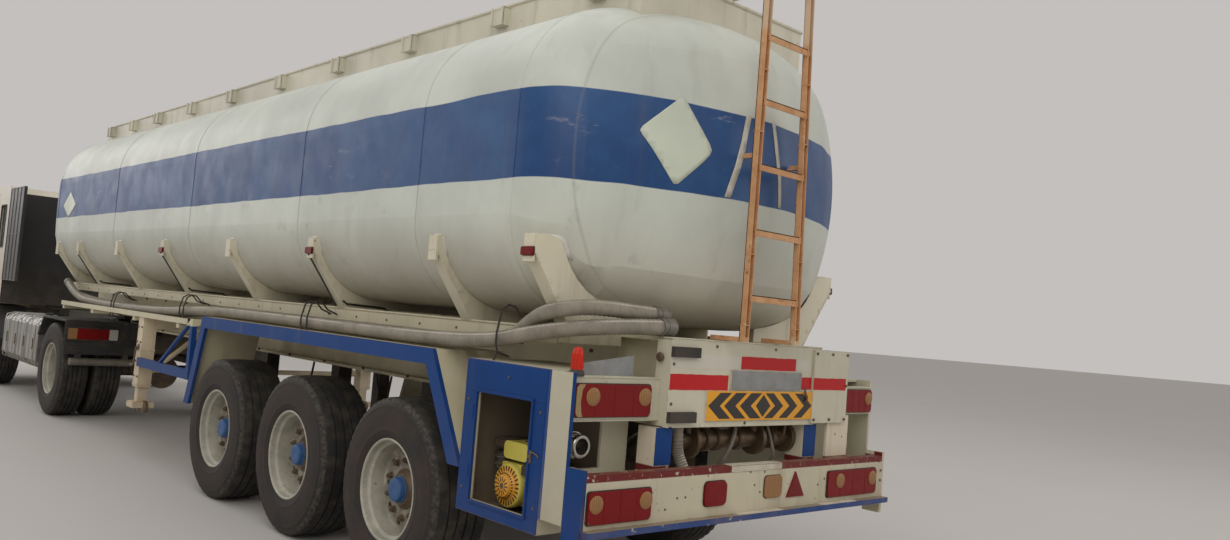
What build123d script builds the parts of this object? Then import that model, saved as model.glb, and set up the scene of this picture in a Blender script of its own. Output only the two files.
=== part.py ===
from build123d import *
import os
import math

os.makedirs("parts", exist_ok=True)

# Articulated tanker: two-axle tractor and three-axle tank semi-trailer.
# Millimetres. While modelling, X runs forward from the rear face of the trailer's
# bumper, Y to the vehicle's left, Z up from the road. Every node is moved by XS at
# the end, so that the origin is the middle of the whole vehicle's length.
XS = -7200.0
FRONT_X, REAR_X = 14450.0, -50.0
HALF_W = 1250.0

# ---- tank ----
TANK_HW, TANK_Z0, TANK_Z1 = 1240.0, 1600.0, 3360.0
TANK_X0, TANK_X1 = 60.0, 10420.0
DISH_R, KNUCKLE_R = 1900.0, 400.0
LOW_R, HIGH_R = 500.0, 620.0          # corner radii of the cross-section
LOW_CZ, HIGH_CZ = 2120.0, 2700.0

# ---- coaming on top ----
COAM_X0, COAM_X1, COAM_HY, COAM_Z0, COAM_Z1 = 450.0, 10050.0, 700.0, 3250.0, 3520.0
DECK_Z0, DECK_Z1 = 3385.0, 3400.0
MANHOLES = (2000.0, 5200.0, 8400.0)
MAN_R = 290.0

# ---- trailer frame ----
RAIL_Y0, RAIL_WEB0, RAIL_WEB1, RAIL_Y1 = 470.0, 535.0, 555.0, 630.0
RAIL_TOP, RAIL_LOW, NECK_LOW = 1550.0, 1100.0, 1220.0
KING_X = 9900.0                        # turning axis of the tractor
KING_R = 25.4
PLATE_Z = 1200.0

# ---- wheels ----
TR_AXLES = (1700.0, 3010.0, 4320.0)
TR_R, TR_W, TR_Y = 536.0, 385.0, 1057.5
TC_R, TC_W = 538.0, 312.0
DRIVE_X, DRIVE_YO, DRIVE_YI = 9450.0, 1080.0, 730.0
STEER_X, STEER_Y, PIVOT_Y = 13050.0, 1030.0, 880.0

# ---- cab ----
CAB_HY, CAB_T = 1230.0, 40.0
TILT_X, TILT_Z = 14400.0, 850.0
DOOR_HX, DOOR_HY = 14203.0, 1236.0


# ---------------------------------------------------------------- helpers
def bx(x0, x1, y0, y1, z0, z1):
    return Pos((x0 + x1) / 2, (y0 + y1) / 2, (z0 + z1) / 2) * Box(x1 - x0, y1 - y0, z1 - z0)


def rod(p, q, r):
    d = Vector(*q) - Vector(*p)
    return Solid.make_cylinder(r, d.length, Plane(origin=p, z_dir=d))


def lift(axis, a):
    return {"x": lambda u, v: Vector(a, u, v),
            "y": lambda u, v: Vector(u, a, v),
            "z": lambda u, v: Vector(u, v, a)}[axis]


def shift(axis, d):
    return {"x": Vector(d, 0, 0), "y": Vector(0, d, 0), "z": Vector(0, 0, d)}[axis]


def plate(axis, a0, a1, pts):
    """Straight-sided outline pushed from a0 to a1 along an axis."""
    f = lift(axis, a0)
    wire = Wire.make_polygon([f(u, v) for u, v in pts], close=True)
    return Solid.extrude(Face(wire), shift(axis, a1 - a0))


def curved(axis, a0, a1, start, steps):
    """Outline of lines and arcs: a step is (end) or (through, end)."""
    f = lift(axis, a0)
    edges, here = [], start
    for step in steps:
        if len(step) == 1:
            edges.append(Edge.make_line(f(*here), f(*step[0])))
            here = step[0]
        else:
            edges.append(Edge.make_three_point_arc(f(*here), f(*step[0]), f(*step[1])))
            here = step[1]
    return Solid.extrude(Face(Wire(edges)), shift(axis, a1 - a0))


def ring(pts):
    """Outline of (y, r) pairs turned about the local Y axis."""
    wire = Wire.make_polygon([Vector(0, y, r) for y, r in pts], close=True)
    return Solid.revolve(Face(wire), 360, Axis((0, 0, 0), (0, 1, 0)))


def add(*shapes):
    total = shapes[0]
    for s in shapes[1:]:
        total = total + s
    return total


def other_side(s):
    return s.mirror(Plane.XZ)


def both(s):
    return [s, other_side(s)]


NODES = {}


def node(name, *shapes):
    solids = []
    for s in shapes:
        solids += list(s.solids())
    NODES[name] = solids


# ---------------------------------------------------------------- tank
c45 = math.sqrt(0.5)
ly, hy = TANK_HW - LOW_R, TANK_HW - HIGH_R
lz, hz = LOW_CZ - LOW_R, HIGH_CZ + HIGH_R
body = curved("x", TANK_X0 - 50, TANK_X1 + 50, (-ly, lz), [
    ((0, TANK_Z0), (ly, lz)),
    ((ly + LOW_R * c45, LOW_CZ - LOW_R * c45), (TANK_HW, LOW_CZ)),
    ((TANK_HW, HIGH_CZ),),
    ((hy + HIGH_R * c45, HIGH_CZ + HIGH_R * c45), (hy, hz)),
    ((0, TANK_Z1), (-hy, hz)),
    ((-hy - HIGH_R * c45, HIGH_CZ + HIGH_R * c45), (-TANK_HW, HIGH_CZ)),
    ((-TANK_HW, LOW_CZ),),
    ((-ly - LOW_R * c45, LOW_CZ - LOW_R * c45), (-ly, lz))])
# both ends are crowned, with a rounded knuckle where the crown meets the sides
MID_Z = 2480.0
tank = body
for x0, x1, cx in ((TANK_X0 - 100, TANK_X0 + 700, TANK_X0 + DISH_R), (TANK_X1 - 700, TANK_X1 + 100, TANK_X1 - DISH_R)):
    tank = tank - (bx(x0, x1, -1450, 1450, 1400, 3600) - Pos(cx, 0, MID_Z) * Sphere(DISH_R))
tank = tank.solids().sort_by(SortBy.VOLUME)[-1]
knuckles = [e for e in tank.edges() if e.bounding_box().size.X < 300]
print("tank edges", len(tank.edges()), "knuckle edges", len(knuckles), "volume", tank.volume)
tank = tank.fillet(KNUCKLE_R, knuckles)
print("rounded", tank.volume, tank.is_valid, tank.bounding_box())
node("tank", tank)

# saddles: x of the rear face of each, along the tank
SADDLES = (480.0, 1350.0, 2870.0, 4300.0, 5830.0, 7180.0, 8600.0, 9480.0)
SADDLE_T = 90.0
SIDE_Y0, SIDE_Y1, SIDE_Z = 945.0, 985.0, 1470.0     # side rails outside the main rails
saddles = []
for x in SADDLES:
    s = plate("x", x, x + SADDLE_T, [(480, 1550), (SIDE_Y1, 1550), (1255, 1930), (1255, 2010),
                                      (1150, 2010), (480, 1800)])
    s = (s - tank).solids().sort_by(SortBy.VOLUME)[-1]
    saddles.append(s)
# a bearing strip along each rail joins that side's saddles
saddles = add(bx(SADDLES[0], SADDLES[-1] + SADDLE_T, 480, 632, 1550, 1560), *saddles)
node("tank_saddles", *both(saddles))

# coaming: four walls, walkway deck and side boxes
BOXES_X = (790.0, 1700.0, 2780.0, 3860.0, 4920.0, 6010.0, 7070.0, 8100.0, 8980.0, 9840.0)
walls = bx(COAM_X0, COAM_X1, -COAM_HY, COAM_HY, COAM_Z0, COAM_Z1) \
    - bx(COAM_X0 + 20, COAM_X1 - 20, -COAM_HY + 20, COAM_HY - 20, COAM_Z0 - 50, COAM_Z1 + 50)
walls = walls - tank
deck = bx(COAM_X0 + 10, COAM_X1 - 10, -COAM_HY + 10, COAM_HY - 10, DECK_Z0, DECK_Z1)
coaming = walls + deck
for x in BOXES_X:
    for s in both(bx(x - 60, x + 60, COAM_HY - 5, COAM_HY + 50, 3390, 3500)):
        coaming = coaming + s
for x in MANHOLES:
    coaming = coaming - Pos(x, 0, DECK_Z0) * Cylinder(MAN_R + 70, 200)
node("coaming", coaming)

# manhole collars with hinge lugs, and their lids
PIN_R = 8.0
HINGE_DX, HINGE_Z = 325.0, 3475.0
collars = []
for x in MANHOLES:
    c = Pos(x, 0, 3385) * Cylinder(MAN_R, 130) - Pos(x, 0, 3385) * Cylinder(MAN_R - 35, 300)
    c = (c - tank).solids().sort_by(SortBy.VOLUME)[-1]
    hx = x - HINGE_DX
    for y0, y1 in ((48.0, 66.0), (-66.0, -48.0)):
        c = c + bx(hx - 16, x - MAN_R + 12, y0, y1, 3395, 3445) + bx(hx - 16, hx + 16, y0, y1, 3440, HINGE_Z + 16)
    c = c + rod((hx, -60, HINGE_Z), (hx, 60, HINGE_Z), PIN_R)
    collars.append(c)
node("manhole_collars", *collars)
for name, x in zip(("manhole_lid_rear", "manhole_lid_middle", "manhole_lid_front"), MANHOLES):
    hx = x - HINGE_DX
    lid = Pos(x, 0, 3472) * Cylinder(MAN_R, 30) + Pos(x, 0, 3494) * Cylinder(MAN_R - 110, 20)
    lid = lid + bx(hx, x - 150, -40, 40, 3460, 3487) + rod((hx, -40, HINGE_Z), (hx, 40, HINGE_Z), 18)
    lid = lid + bx(x + 215, x + 235, -60, 60, 3480, 3520)
    lid = lid - rod((hx, -70, HINGE_Z), (hx, 70, HINGE_Z), PIN_R + 0.5)
    node(name, lid)

# ladder up the rear end, with rails that turn over the top
LAD_Y, LAD_X0, LAD_X1, LAD_T = (235.0, -200.0), -50.0, -12.0, 38.0
LAD_TOP = 3600.0
LAD_IN = 80.0                       # the right rail leans in by this much at the top
LAD_TILT = (0.0, LAD_IN)
ladder = []
for y, tilt in zip(LAD_Y, LAD_TILT):
    y0, y1 = y - LAD_T / 2, y - LAD_T / 2 + tilt
    ladder += [plate("x", LAD_X0, LAD_X1, [(y0, 1555), (y0 + LAD_T, 1555), (y1 + LAD_T, LAD_TOP), (y1, LAD_TOP)]),
               bx(LAD_X0, 620, y1, y1 + LAD_T, LAD_TOP - LAD_T, LAD_TOP),
               bx(582, 620, y1, y1 + LAD_T, DECK_Z1, LAD_TOP),
               bx(LAD_X0, 190, y0, y0 + LAD_T, 1555, 1580)]
for i in range(6):
    z = 1785 + 346 * i
    tilt = LAD_IN * (z - 1555) / (LAD_TOP - 1555)
    ladder.append(bx(-46, -16, LAD_Y[1] + tilt, LAD_Y[0], z - 18, z + 18))
ladder = add(*ladder)
for y, tilt in zip(LAD_Y, LAD_TILT):
    y = y + tilt * (2540 - 1555) / (LAD_TOP - 1555)
    ladder = ladder + (bx(-20, 120, y - 12, y + 12, 2525, 2555) - tank).solids().sort_by(Axis.X)[0]
node("ladder", ladder)

# ---------------------------------------------------------------- trailer frame
frame = []
for x0, x1, z0 in ((150.0, 7900.0, RAIL_LOW), (8300.0, 10300.0, NECK_LOW)):
    frame.append(bx(x0, x1, RAIL_Y0, RAIL_Y1, z0, z0 + 20))
frame.append(plate("y", RAIL_Y0, RAIL_Y1, [(7900, 1100), (8300, 1220), (8300, 1240), (7900, 1120)]))
frame.append(bx(150, 10300, RAIL_Y0, RAIL_Y1, RAIL_TOP - 20, RAIL_TOP))
frame.append(plate("y", RAIL_WEB0, RAIL_WEB1, [(150, 1100), (7900, 1100), (8300, 1220), (10300, 1220),
                                               (10300, 1550), (150, 1550)]))
frame = add(*frame)
frame = frame + other_side(frame)
for x in (200.0, 1050.0, 2300.0, 3600.0, 4950.0, 6300.0, 7600.0, 8900.0, 10150.0):
    frame = frame + bx(x, x + 100, -RAIL_WEB0 - 5, RAIL_WEB0 + 5, 1300, 1500)
# side rails that carry the saddles' outer ends, on an outrigger under each saddle
for s in both(bx(575, 9900, SIDE_Y0, SIDE_Y1, SIDE_Z, RAIL_TOP)):
    frame = frame + s
for x in SADDLES:
    for s in both(bx(x, x + SADDLE_T, RAIL_Y1 - 5, SIDE_Y0 + 5 if x > 575 else SIDE_Y1, 1480, RAIL_TOP)):
        frame = frame + s
# coupler plate under the neck, with the kingpin that stands down from it
frame = frame + bx(9150, 10300, -RAIL_Y1, RAIL_Y1, PLATE_Z, NECK_LOW + 1) \
    + rod((KING_X, 0, 1108), (KING_X, 0, PLATE_Z + 5), KING_R)
node("trailer_frame", frame)

# landing gear: fixed legs, parked up
legs = []
for s in both(add(bx(6340, 6480, 1080, 1200, 640, 1290), bx(6365, 6455, 1100, 1180, 500, 640),
                  bx(6320, 6500, 1040, 1230, 450, 500), bx(6340, 6480, RAIL_Y1, 1080, 1190, 1290),
                  bx(6340, 6480, RAIL_WEB1, RAIL_Y1, 1190, 1290),
                  rod((6410, 1090, 760), (6410, 600, 1200), 22))):
    legs.append(s)
node("landing_gear", add(legs[0], legs[1], rod((6410, -1090, 800), (6410, 1090, 800), 25)))

# side guards between the legs and the wheels
guard = add(bx(5010, 6335, 1190, 1230, 840, 920), bx(5010, 5070, 1190, 1230, 840, 1345),
            bx(5010, 5070, RAIL_WEB1, 1230, 1290, 1345),
            rod((5080, 1205, 1330), (5800, 1205, 900), 18))
node("side_guards", *both(guard))

# wheel guards: bent plates with a deeper outer edge, on outriggers
wg = plate("y", 760, HALF_W, [(972, 790), (1320, 1380), (4750, 1380), (4990, 660),
                              (4950, 660), (4722, 1350), (1338, 1350), (1010, 790)])
lip = plate("y", 1225, HALF_W, [(972, 790), (1320, 1380), (4750, 1380), (4990, 660),
                                (4890, 660), (4680, 1290), (1375, 1290), (1080, 790)])
wg = wg + lip
for x in (1420.0, 2320.0, 3630.0, 4600.0):
    wg = wg + bx(x, x + 80, RAIL_Y1, 1226, 1290, 1352)
node("wheel_guards", *both(wg))

# hose tray ahead of the wheel guard, on the left
tray = add(bx(5190, 9250, 950, 1215, 1292, 1300), bx(5190, 9250, 1207, 1215, 1292, 1340),
           bx(5190, 9250, 950, 958, 1292, 1340))
for x in (5400.0, 6600.0, 8000.0, 9150.0):
    tray = tray + bx(x, x + 60, RAIL_Y1, 1207, 1250, 1294)
node("hose_tray", tray)

# rear cabinets: steel boxes, the left one with its door missing
CB = dict(x0=300.0, x1=965.0, y0=700.0, y1=1250.0, z0=580.0, z1=1360.0, t=20.0)
OPEN = dict(x0=400.0, x1=850.0, z0=650.0, z1=1195.0)
box = bx(CB["x0"], CB["x1"], CB["y0"], CB["y1"], CB["z0"], CB["z1"]) \
    - bx(CB["x0"] + 20, CB["x1"] - 20, CB["y0"] + 20, CB["y1"] - 20, CB["z0"] + 20, CB["z1"] - 20)
box = box - bx(OPEN["x0"], OPEN["x1"], 1200, 1300, OPEN["z0"], OPEN["z1"])
box = box + bx(120, 300, 1232, 1250, 660, 1360) + bx(215, 300, 1100, 1250, 1345, 1360)
box = box + bx(500, 700, RAIL_Y1, 705, 1240, 1340)
left_box = box - bx(290, 330, 880, 1140, 880, 1140)
node("rear_cabinets", left_box, other_side(box))
DOOR2_X, DOOR2_Y = 852.0, -1257.0
door2 = bx(406, 844, -1250, -1235, 656, 1189) + bx(420, 440, -1262, -1250, 880, 960)
for z in (760.0, 1020.0):
    door2 = door2 + rod((DOOR2_X, DOOR2_Y, z), (DOOR2_X, DOOR2_Y, z + 60), 5) \
        + bx(820, DOOR2_X, -1260, -1250, z, z + 60)
node("cabinet_door_right", door2)

# petrol engine and pump in the left cabinet
pump = add(bx(550, 800, 880, 1090, 640, 800), bx(560, 780, 900, 1120, 800, 850),
           Pos(690, 1130, 738) * Rot(X=90) * Cylinder(112, 90),
           bx(570, 770, 930, 1120, 870, 960), bx(580, 760, 940, 1100, 850, 870),
           bx(780, 890, 930, 1060, 760, 900), bx(520, 560, 950, 1050, 700, 800),
           bx(560, 580, 900, 1090, 600, 640), bx(770, 790, 900, 1090, 600, 640),
           rod((420, 1010, 720), (530, 1010, 720), 90), bx(420, 480, 960, 1060, 600, 720))
node("petrol_pump", pump)

# rear pipework: cross pipe with two drop pipes, and the outlet beside the pump cabinet
OUT_Y, OUT_Z, OUT_X, OUT_R = 1070.0, 1000.0, 225.0, 40.0
cross = add(rod((250, -545, 1010), (250, 545, 1010), 50), rod((250, 300, 960), (250, 300, 1298), 40),
            rod((250, -250, 960), (250, -250, 1298), 40),
            rod((250, 285, 1010), (250, 315, 1010), 95), rod((250, -265, 1010), (250, -235, 1010), 95),
            rod((250, -545, 1010), (250, -515, 1010), 85), rod((250, 515, 1010), (250, 545, 1010), 85))
outlet = add(rod((OUT_X, OUT_Y, OUT_Z), (330, OUT_Y, OUT_Z), 56), rod((285, OUT_Y, OUT_Z), (345, OUT_Y, OUT_Z), 66),
             rod((340, OUT_Y, OUT_Z), (372, OUT_Y, OUT_Z), 40), rod((364, OUT_Y, 812), (364, OUT_Y, OUT_Z), 40))
outlet = outlet - rod((OUT_X - 5, OUT_Y, OUT_Z), (285, OUT_Y, OUT_Z), OUT_R)
node("rear_pipes", cross, outlet)

# tail board with lamp boxes set back from it, plates, and the bolted repair plate on the right
board = add(bx(90, 110, -600, 640, 1105, 1540), bx(90, 150, -640, 640, 1515, 1550),
            bx(90, 190, 632, 645, 1105, 1540), bx(150, 190, 640, 1230, 1133, 1342),
            bx(75, 92, -910, -560, 1110, 1535), bx(90, 150, -925, -905, 1155, 1320),
            bx(112, 150, -1230, -905, 1155, 1320), bx(82, 92, -575, 360, 1131, 1291),
            bx(82, 92, -450, 175, 1297, 1400), bx(108, 150, 470, 630, 1105, 1520),
            bx(108, 150, -630, -470, 1105, 1520))
node("tail_board", board)
node("rubber_buffers", bx(65, 90, 447, 644, 1456, 1508), bx(65, 90, 447, 644, 1126, 1180))

# rear bumper with its ledge, end plates and the posts that carry it
bumper = add(bx(0, 60, -1240, 1240, 660, 908), bx(REAR_X, 60, -1240, 1240, 632, 662),
             bx(0, 118, 1225, 1250, 560, 930), bx(0, 118, -1250, -1225, 560, 930))
for y0, y1 in ((575.0, 685.0), (-660.0, -550.0)):
    bumper = bumper + bx(55, 240, y0, y1, 700, 862) + bx(112, 240, y0, y1, 860, 1098)
bumper = bumper + bx(55, 113, -975, -755, 880, 905) + bx(97, 113, -975, -755, 880, 1150)
node("trailer_bumper", bumper)

# trailer lamps: (x0, x1, y0, y1, z0, z1)
LAMPS = ((130, 150, 715, 1222, 1148, 1298), (92, 112, -1222, -927, 1163, 1311),
         (-14, 0, 805, 1222, 680, 833), (-14, 0, -1160, -640, 685, 846),
         (-14, 0, 254, 430, 710, 842), (-12, 0, -213, -57, 722, 847))
lamps = [bx(*row) for row in LAMPS]
lamps.append(plate("x", -10, 0, [(-333, 856), (-260, 716), (-423, 716)]))
lamps.append(add(Pos(170, 1190, 1352) * Cylinder(36, 20), Pos(170, 1190, 1420) * Cylinder(28, 118)))
for x in (480.0, 2870.0, 5830.0):
    lamps += both(bx(x - 5, x + 95, 1255, 1275, 1895, 1945))
node("trailer_lamps", *lamps)

# trailer axles: square beams with stub ends and brake plates
AX_Z = TR_R
axles = []
for x in TR_AXLES:
    a = bx(x - 65, x + 65, -840, 840, AX_Z - 65, AX_Z + 65)
    for s in both(add(rod((x, 835, AX_Z), (x, 1120, AX_Z), 45), rod((x, 820, AX_Z), (x, 850, AX_Z), 205))):
        a = a + s
    axles.append(a)
node("trailer_axles", *axles)

# leaf springs on top of the axles, between hangers under the rails
HANGERS = (1045.0, 2355.0, 3665.0, 4975.0)
spring = []
for x in TR_AXLES:
    spring += [bx(x - 600, x + 600, 505, 595, AX_Z + 75, AX_Z + 125), bx(x - 75, x + 75, 495, 605, AX_Z + 65, AX_Z + 150)]
for x in HANGERS:
    spring += [bx(x - 60, x + 60, 495, 605, AX_Z + 60, 1100)]
spring = add(*spring)
node("trailer_springs", *both(spring))


# ---------------------------------------------------------------- wheels
def tyre(r, w, bead):
    h = w / 2
    return ring([(-h + 30, bead), (-h, bead + 85), (-h, r - 62), (-h + 42, r), (h - 42, r),
                 (h, r - 62), (h, bead + 85), (h - 30, bead)])


def rim(w, bead, disc_y, hub_r, hub0, hub1):
    h = w / 2 - 24
    barrel = ring([(-h, bead - 26), (h, bead - 26), (h, bead + 8), (-h, bead + 8)])
    if abs(disc_y) > h:                # a twin's dish stands out past its rim
        e = disc_y + math.copysign(9, disc_y)
        barrel = barrel + ring([(0, bead - 26), (e, bead - 26), (e, bead - 2), (0, bead - 2)])
    web = ring([(disc_y - 9, hub_r - 10), (disc_y + 9, hub_r - 10), (disc_y + 9, bead - 20),
                (disc_y - 9, bead - 20)])
    hub = rod((0, hub0, 0), (0, hub1, 0), hub_r)
    return add(barrel, web, hub)


BEAD = 286.0


def at_side(s, x, y, z, sign):
    s = Pos(x, y, z) * s
    return s if sign > 0 else other_side(s)


trailer_wheel = add(tyre(TR_R, TR_W, BEAD), rim(TR_W, BEAD, 40, 105, -90, 125)) \
    - rod((0, -100, 0), (0, 70, 0), 45.5)
for i, x in enumerate(TR_AXLES):
    for label, sign in (("left", 1), ("right", -1)):
        node("trailer_wheel_%s_%d" % (label, i + 1), at_side(trailer_wheel, x, TR_Y, TR_R, sign))

gap = DRIVE_YO - DRIVE_YI
outer = add(tyre(TC_R, TC_W, BEAD), rim(TC_W, BEAD, -gap / 2 + 10, 150, -gap / 2, 60))
inner = Pos(0, -gap, 0) * add(tyre(TC_R, TC_W, BEAD), rim(TC_W, BEAD, gap / 2 - 8, 150, gap / 2 - 60, gap / 2 + 5))
twin = (outer + inner) - rod((0, -gap - 10, 0), (0, -40, 0), 50.5)
front_wheel = add(tyre(TC_R, TC_W, BEAD), rim(TC_W, BEAD, 112, 130, -30, 150)) \
    - rod((0, -40, 0), (0, 95, 0), 40.5)
for label, sign in (("left", 1), ("right", -1)):
    node("drive_wheels_" + label, at_side(twin, DRIVE_X, DRIVE_YO, TC_R, sign))
    node("front_wheel_" + label, at_side(front_wheel, STEER_X, STEER_Y, TC_R, sign))

# ---------------------------------------------------------------- tractor
rail = bx(8750, 14150, 360, 430, 760, 1020)
tframe = rail + other_side(rail)
# cross members: x, z of the underside
for x, z in ((8770.0, 800.0), (10600.0, 820.0), (11350.0, 880.0), (14050.0, 800.0)):
    tframe = tframe + bx(x, x + 90, -365, 365, z, 1000)
node("tractor_frame", tframe)

# fifth wheel: plate with a hole for the kingpin and a slot to the rear
FW_TOP = 1194.0
fifth = plate("z", FW_TOP - 38, FW_TOP, [(9480, -260), (9560, -430), (10200, -450), (10320, -300),
                                          (10320, 300), (10200, 450), (9560, 430), (9480, 260)])
fifth = fifth - Pos(KING_X, 0, FW_TOP) * Cylinder(31, 100) \
    - plate("z", FW_TOP - 60, FW_TOP + 20, [(KING_X, -31), (KING_X, 31), (9470, 190), (9470, -190)])
for s in both(add(bx(9780, 10020, 290, 400, 1050, FW_TOP - 37), bx(9620, 10180, 300, 430, 1020, 1052))):
    fifth = fifth + s
node("fifth_wheel", fifth)

node("engine", bx(12500, 13950, -330, 330, 640, 1140) + bx(11500, 12501, -220, 220, 640, 1000))

# front axle: dropped beam, leaf springs, eyes for the steering pivots
EYE_R, EYE_BORE = 50.0, 20.5
axle = bx(STEER_X - 60, STEER_X + 60, -720, 720, 400, 500)
for s in both(add(bx(STEER_X - 55, STEER_X + 55, 700, 790, 400, 585),
                  bx(STEER_X - 50, STEER_X + 50, 785, PIVOT_Y, 490, 585),
                  rod((STEER_X, PIVOT_Y, 490), (STEER_X, PIVOT_Y, 585), EYE_R)
                  )):
    axle = axle + s
for s in both(rod((STEER_X, PIVOT_Y, 480), (STEER_X, PIVOT_Y, 600), EYE_BORE)):
    axle = axle - s
for s in both(add(bx(12350, 13750, 365, 425, 590, 640), bx(12350, 12410, 360, 430, 590, 760),
                  bx(13690, 13750, 360, 430, 590, 760), bx(STEER_X - 70, STEER_X + 70, 360, 430, 495, 590))):
    axle = axle + s
node("front_axle", axle)

# knuckle: fork over the axle eye, pivot pin and wheel spindle
knuckle = add(rod((STEER_X, PIVOT_Y, 592), (STEER_X, PIVOT_Y, 628), 45),
              bx(STEER_X - 45, STEER_X + 45, PIVOT_Y, 965, 592, 628),
              rod((STEER_X, PIVOT_Y, 447), (STEER_X, PIVOT_Y, 483), 45),
              bx(STEER_X - 45, STEER_X + 45, PIVOT_Y, 965, 447, 483),
              bx(STEER_X - 45, STEER_X + 45, 938, 965, 447, 628),
              rod((STEER_X, PIVOT_Y, 470), (STEER_X, PIVOT_Y, 600), 20),
              rod((STEER_X, 960, TC_R), (STEER_X, 1118, TC_R), 40))
node("knuckle_left", knuckle)
node("knuckle_right", other_side(knuckle))

# drive axle: housing, differential, stubs, springs and propeller shaft
da = add(rod((DRIVE_X, -790, TC_R), (DRIVE_X, 790, TC_R), 70), rod((9320, 0, TC_R), (9600, 0, TC_R), 185),
         rod((9560, 0, 560), (11490, 0, 800), 45))
for s in both(add(rod((DRIVE_X, 780, TC_R), (DRIVE_X, 1025, TC_R), 50), rod((DRIVE_X, 590, TC_R), (DRIVE_X, 610, TC_R), 205),
                  bx(8950, 9950, 365, 425, 650, 705), bx(8950, 9010, 360, 430, 650, 760),
                  bx(9890, 9950, 360, 430, 650, 760), bx(9390, 9510, 365, 425, 560, 655))):
    da = da + s
node("drive_axle", da)

# rear mudguards with a drop panel and a bar behind the wheels
mg = add(plate("y", 560, 1240, [(8860, 745), (8860, 1132), (9850, 1132), (10062, 900), (10040, 885),
                                (9840, 1112), (8880, 1112), (8880, 745)]),
         bx(8840, 8862, 430, 1240, 750, 1132), bx(9400, 9460, 430, 562, 1090, 1112), bx(9400, 9460, 430, 470, 980, 1095),
         bx(8830, 8880, 500, 1170, 632, 700), bx(8835, 8875, 560, 620, 690, 760),
         bx(8835, 8875, 1060, 1120, 690, 760))
fm = plate("y", 850, 1235, [(12350, 690), (12640, 1140), (13460, 1140), (13722, 700), (13700, 700),
                            (13445, 1122), (12655, 1122), (12372, 690)])
fm = fm + bx(12640, 12700, 430, 852, 1095, 1122) + bx(12640, 12700, 430, 460, 980, 1100)
node("tractor_mudguards", *both(mg), *both(fm))

# fuel tank on the left with straps; battery box and air tanks on the right
def octo(y0, y1, z0, z1, c):
    return [(y0 + c, z0), (y1 - c, z0), (y1, z0 + c), (y1, z1 - c), (y1 - c, z1), (y0 + c, z1),
            (y0, z1 - c), (y0, z0 + c)]


ft = plate("x", 10260, 12180, octo(650, 1190, 460, 1070, 90))
for x in (10420.0, 10900.0, 11380.0, 11860.0):
    ft = ft + plate("x", x, x + 60, octo(645, 1196, 454, 1076, 92))
for x in (10430.0, 11870.0):
    ft = ft + bx(x, x + 50, 430, 660, 780, 860)
node("fuel_tank", ft + rod((11100, 900, 1060), (11100, 900, 1092), 45))
bb = add(bx(10260, 11000, -1190, -660, 560, 1040), bx(10400, 10460, -665, -430, 780, 860))
at = add(rod((11150, -930, 760), (12150, -930, 760), 140), bx(11400, 11440, -800, -430, 765, 800),
         bx(11860, 11900, -800, -430, 765, 800))
node("battery_box", bb)
node("air_tank", at)

# front bumper with step wells at the corners
fb = bx(14180, 14430, -1240, 1240, 320, 825)
for s in both(bx(13740, 14190, 880, 1240, 320, 825)):
    fb = fb + s
for s in both(add(bx(13800, 14130, 1050, 1300, 400, 560), bx(13800, 14130, 1050, 1300, 620, 790))):
    fb = fb - s
fb = fb - bx(14100, 14380, -880, 880, 300, 700)
for s in both(bx(14150, 14200, 340, 450, 690, 824)):
    fb = fb + s
node("front_bumper", fb)

tl = []
for s in both(bx(14425, 14444, 800, 1180, 520, 700)):
    tl.append(s)
for s in both(bx(8822, 8840, 690, 1225, 905, 1060)):
    tl.append(s)
fb = fb - bx(14430, 14460, -1300, 1300, 0, 2000)
tl = [t - fb for t in tl]
node("tractor_lamps", *tl)

# ---------------------------------------------------------------- cab
OUT = [(12450, 1180), (12450, 2730), (12560, 2820), (13900, 2850), (14120, 2760), (14440, 1900),
       (14450, 1700), (14450, 1180)]
INN = [(12490, 1220), (12490, 2712), (12575, 2780), (13892, 2810), (14084, 2730), (14399, 1892),
       (14410, 1700), (14410, 1220)]
shell = plate("y", -CAB_HY, CAB_HY, OUT) - plate("y", -CAB_HY + CAB_T, CAB_HY - CAB_T, INN)
shell = shell + bx(14410, 14450, -CAB_HY, CAB_HY, 900, 1190)
for s in both(bx(14210, 14412, CAB_HY - CAB_T, CAB_HY, 900, 1190)):
    shell = shell + s
for s in both(bx(14330, 14412, 450, 520, 870, 1190)):
    shell = shell + s

# door and its opening: outline in X, Z
DOOR = [(13120, 1236), (14196, 1236), (14196, 1950), (13955, 2640), (13850, 2714), (13120, 2714)]
DOORWAY = [(13113, 1229), (14203, 1229), (14203, 1952), (13961, 2646), (13853, 2721), (13113, 2721)]
D_WIN = [(13240, 1960), (14050, 1960), (13860, 2560), (13800, 2600), (13240, 2600)]
for y0, y1 in ((CAB_HY - CAB_T - 5, CAB_HY + 5), (-CAB_HY - 5, -CAB_HY + CAB_T + 5)):
    shell = shell - plate("y", y0, y1, DOORWAY)
    shell = shell - plate("y", y0, y1, [(12640, 1960), (12960, 1960), (12960, 2560), (12640, 2560)])

# windscreen, rear window: cut through the whole wall
dx, dz = (14440 - 14120), (1900 - 2760)
ln = math.hypot(dx, dz)
dx, dz = dx / ln, dz / ln
nx, nz = -dz, dx


def on_screen(along, out):
    return (14120 + dx * along + nx * out, 2760 + dz * along + nz * out)


def screen(a0, a1, o0, o1):
    return [on_screen(a0, o1), on_screen(a1, o1), on_screen(a1, o0), on_screen(a0, o0)]


shell = shell - plate("y", -1090, 1090, screen(70, 850, -90, 60))
shell = shell - bx(12400, 12540, -560, 560, 2000, 2500)
node("cab_shell", shell)
node("cab_glass", plate("y", -1090, 1090, screen(70, 850, -22, -14)), bx(12466, 12472, -560, 560, 2000, 2500),
     *both(plate("y", CAB_HY - 24, CAB_HY - 18, [(12640, 1960), (12960, 1960), (12960, 2560), (12640, 2560)])))

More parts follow.
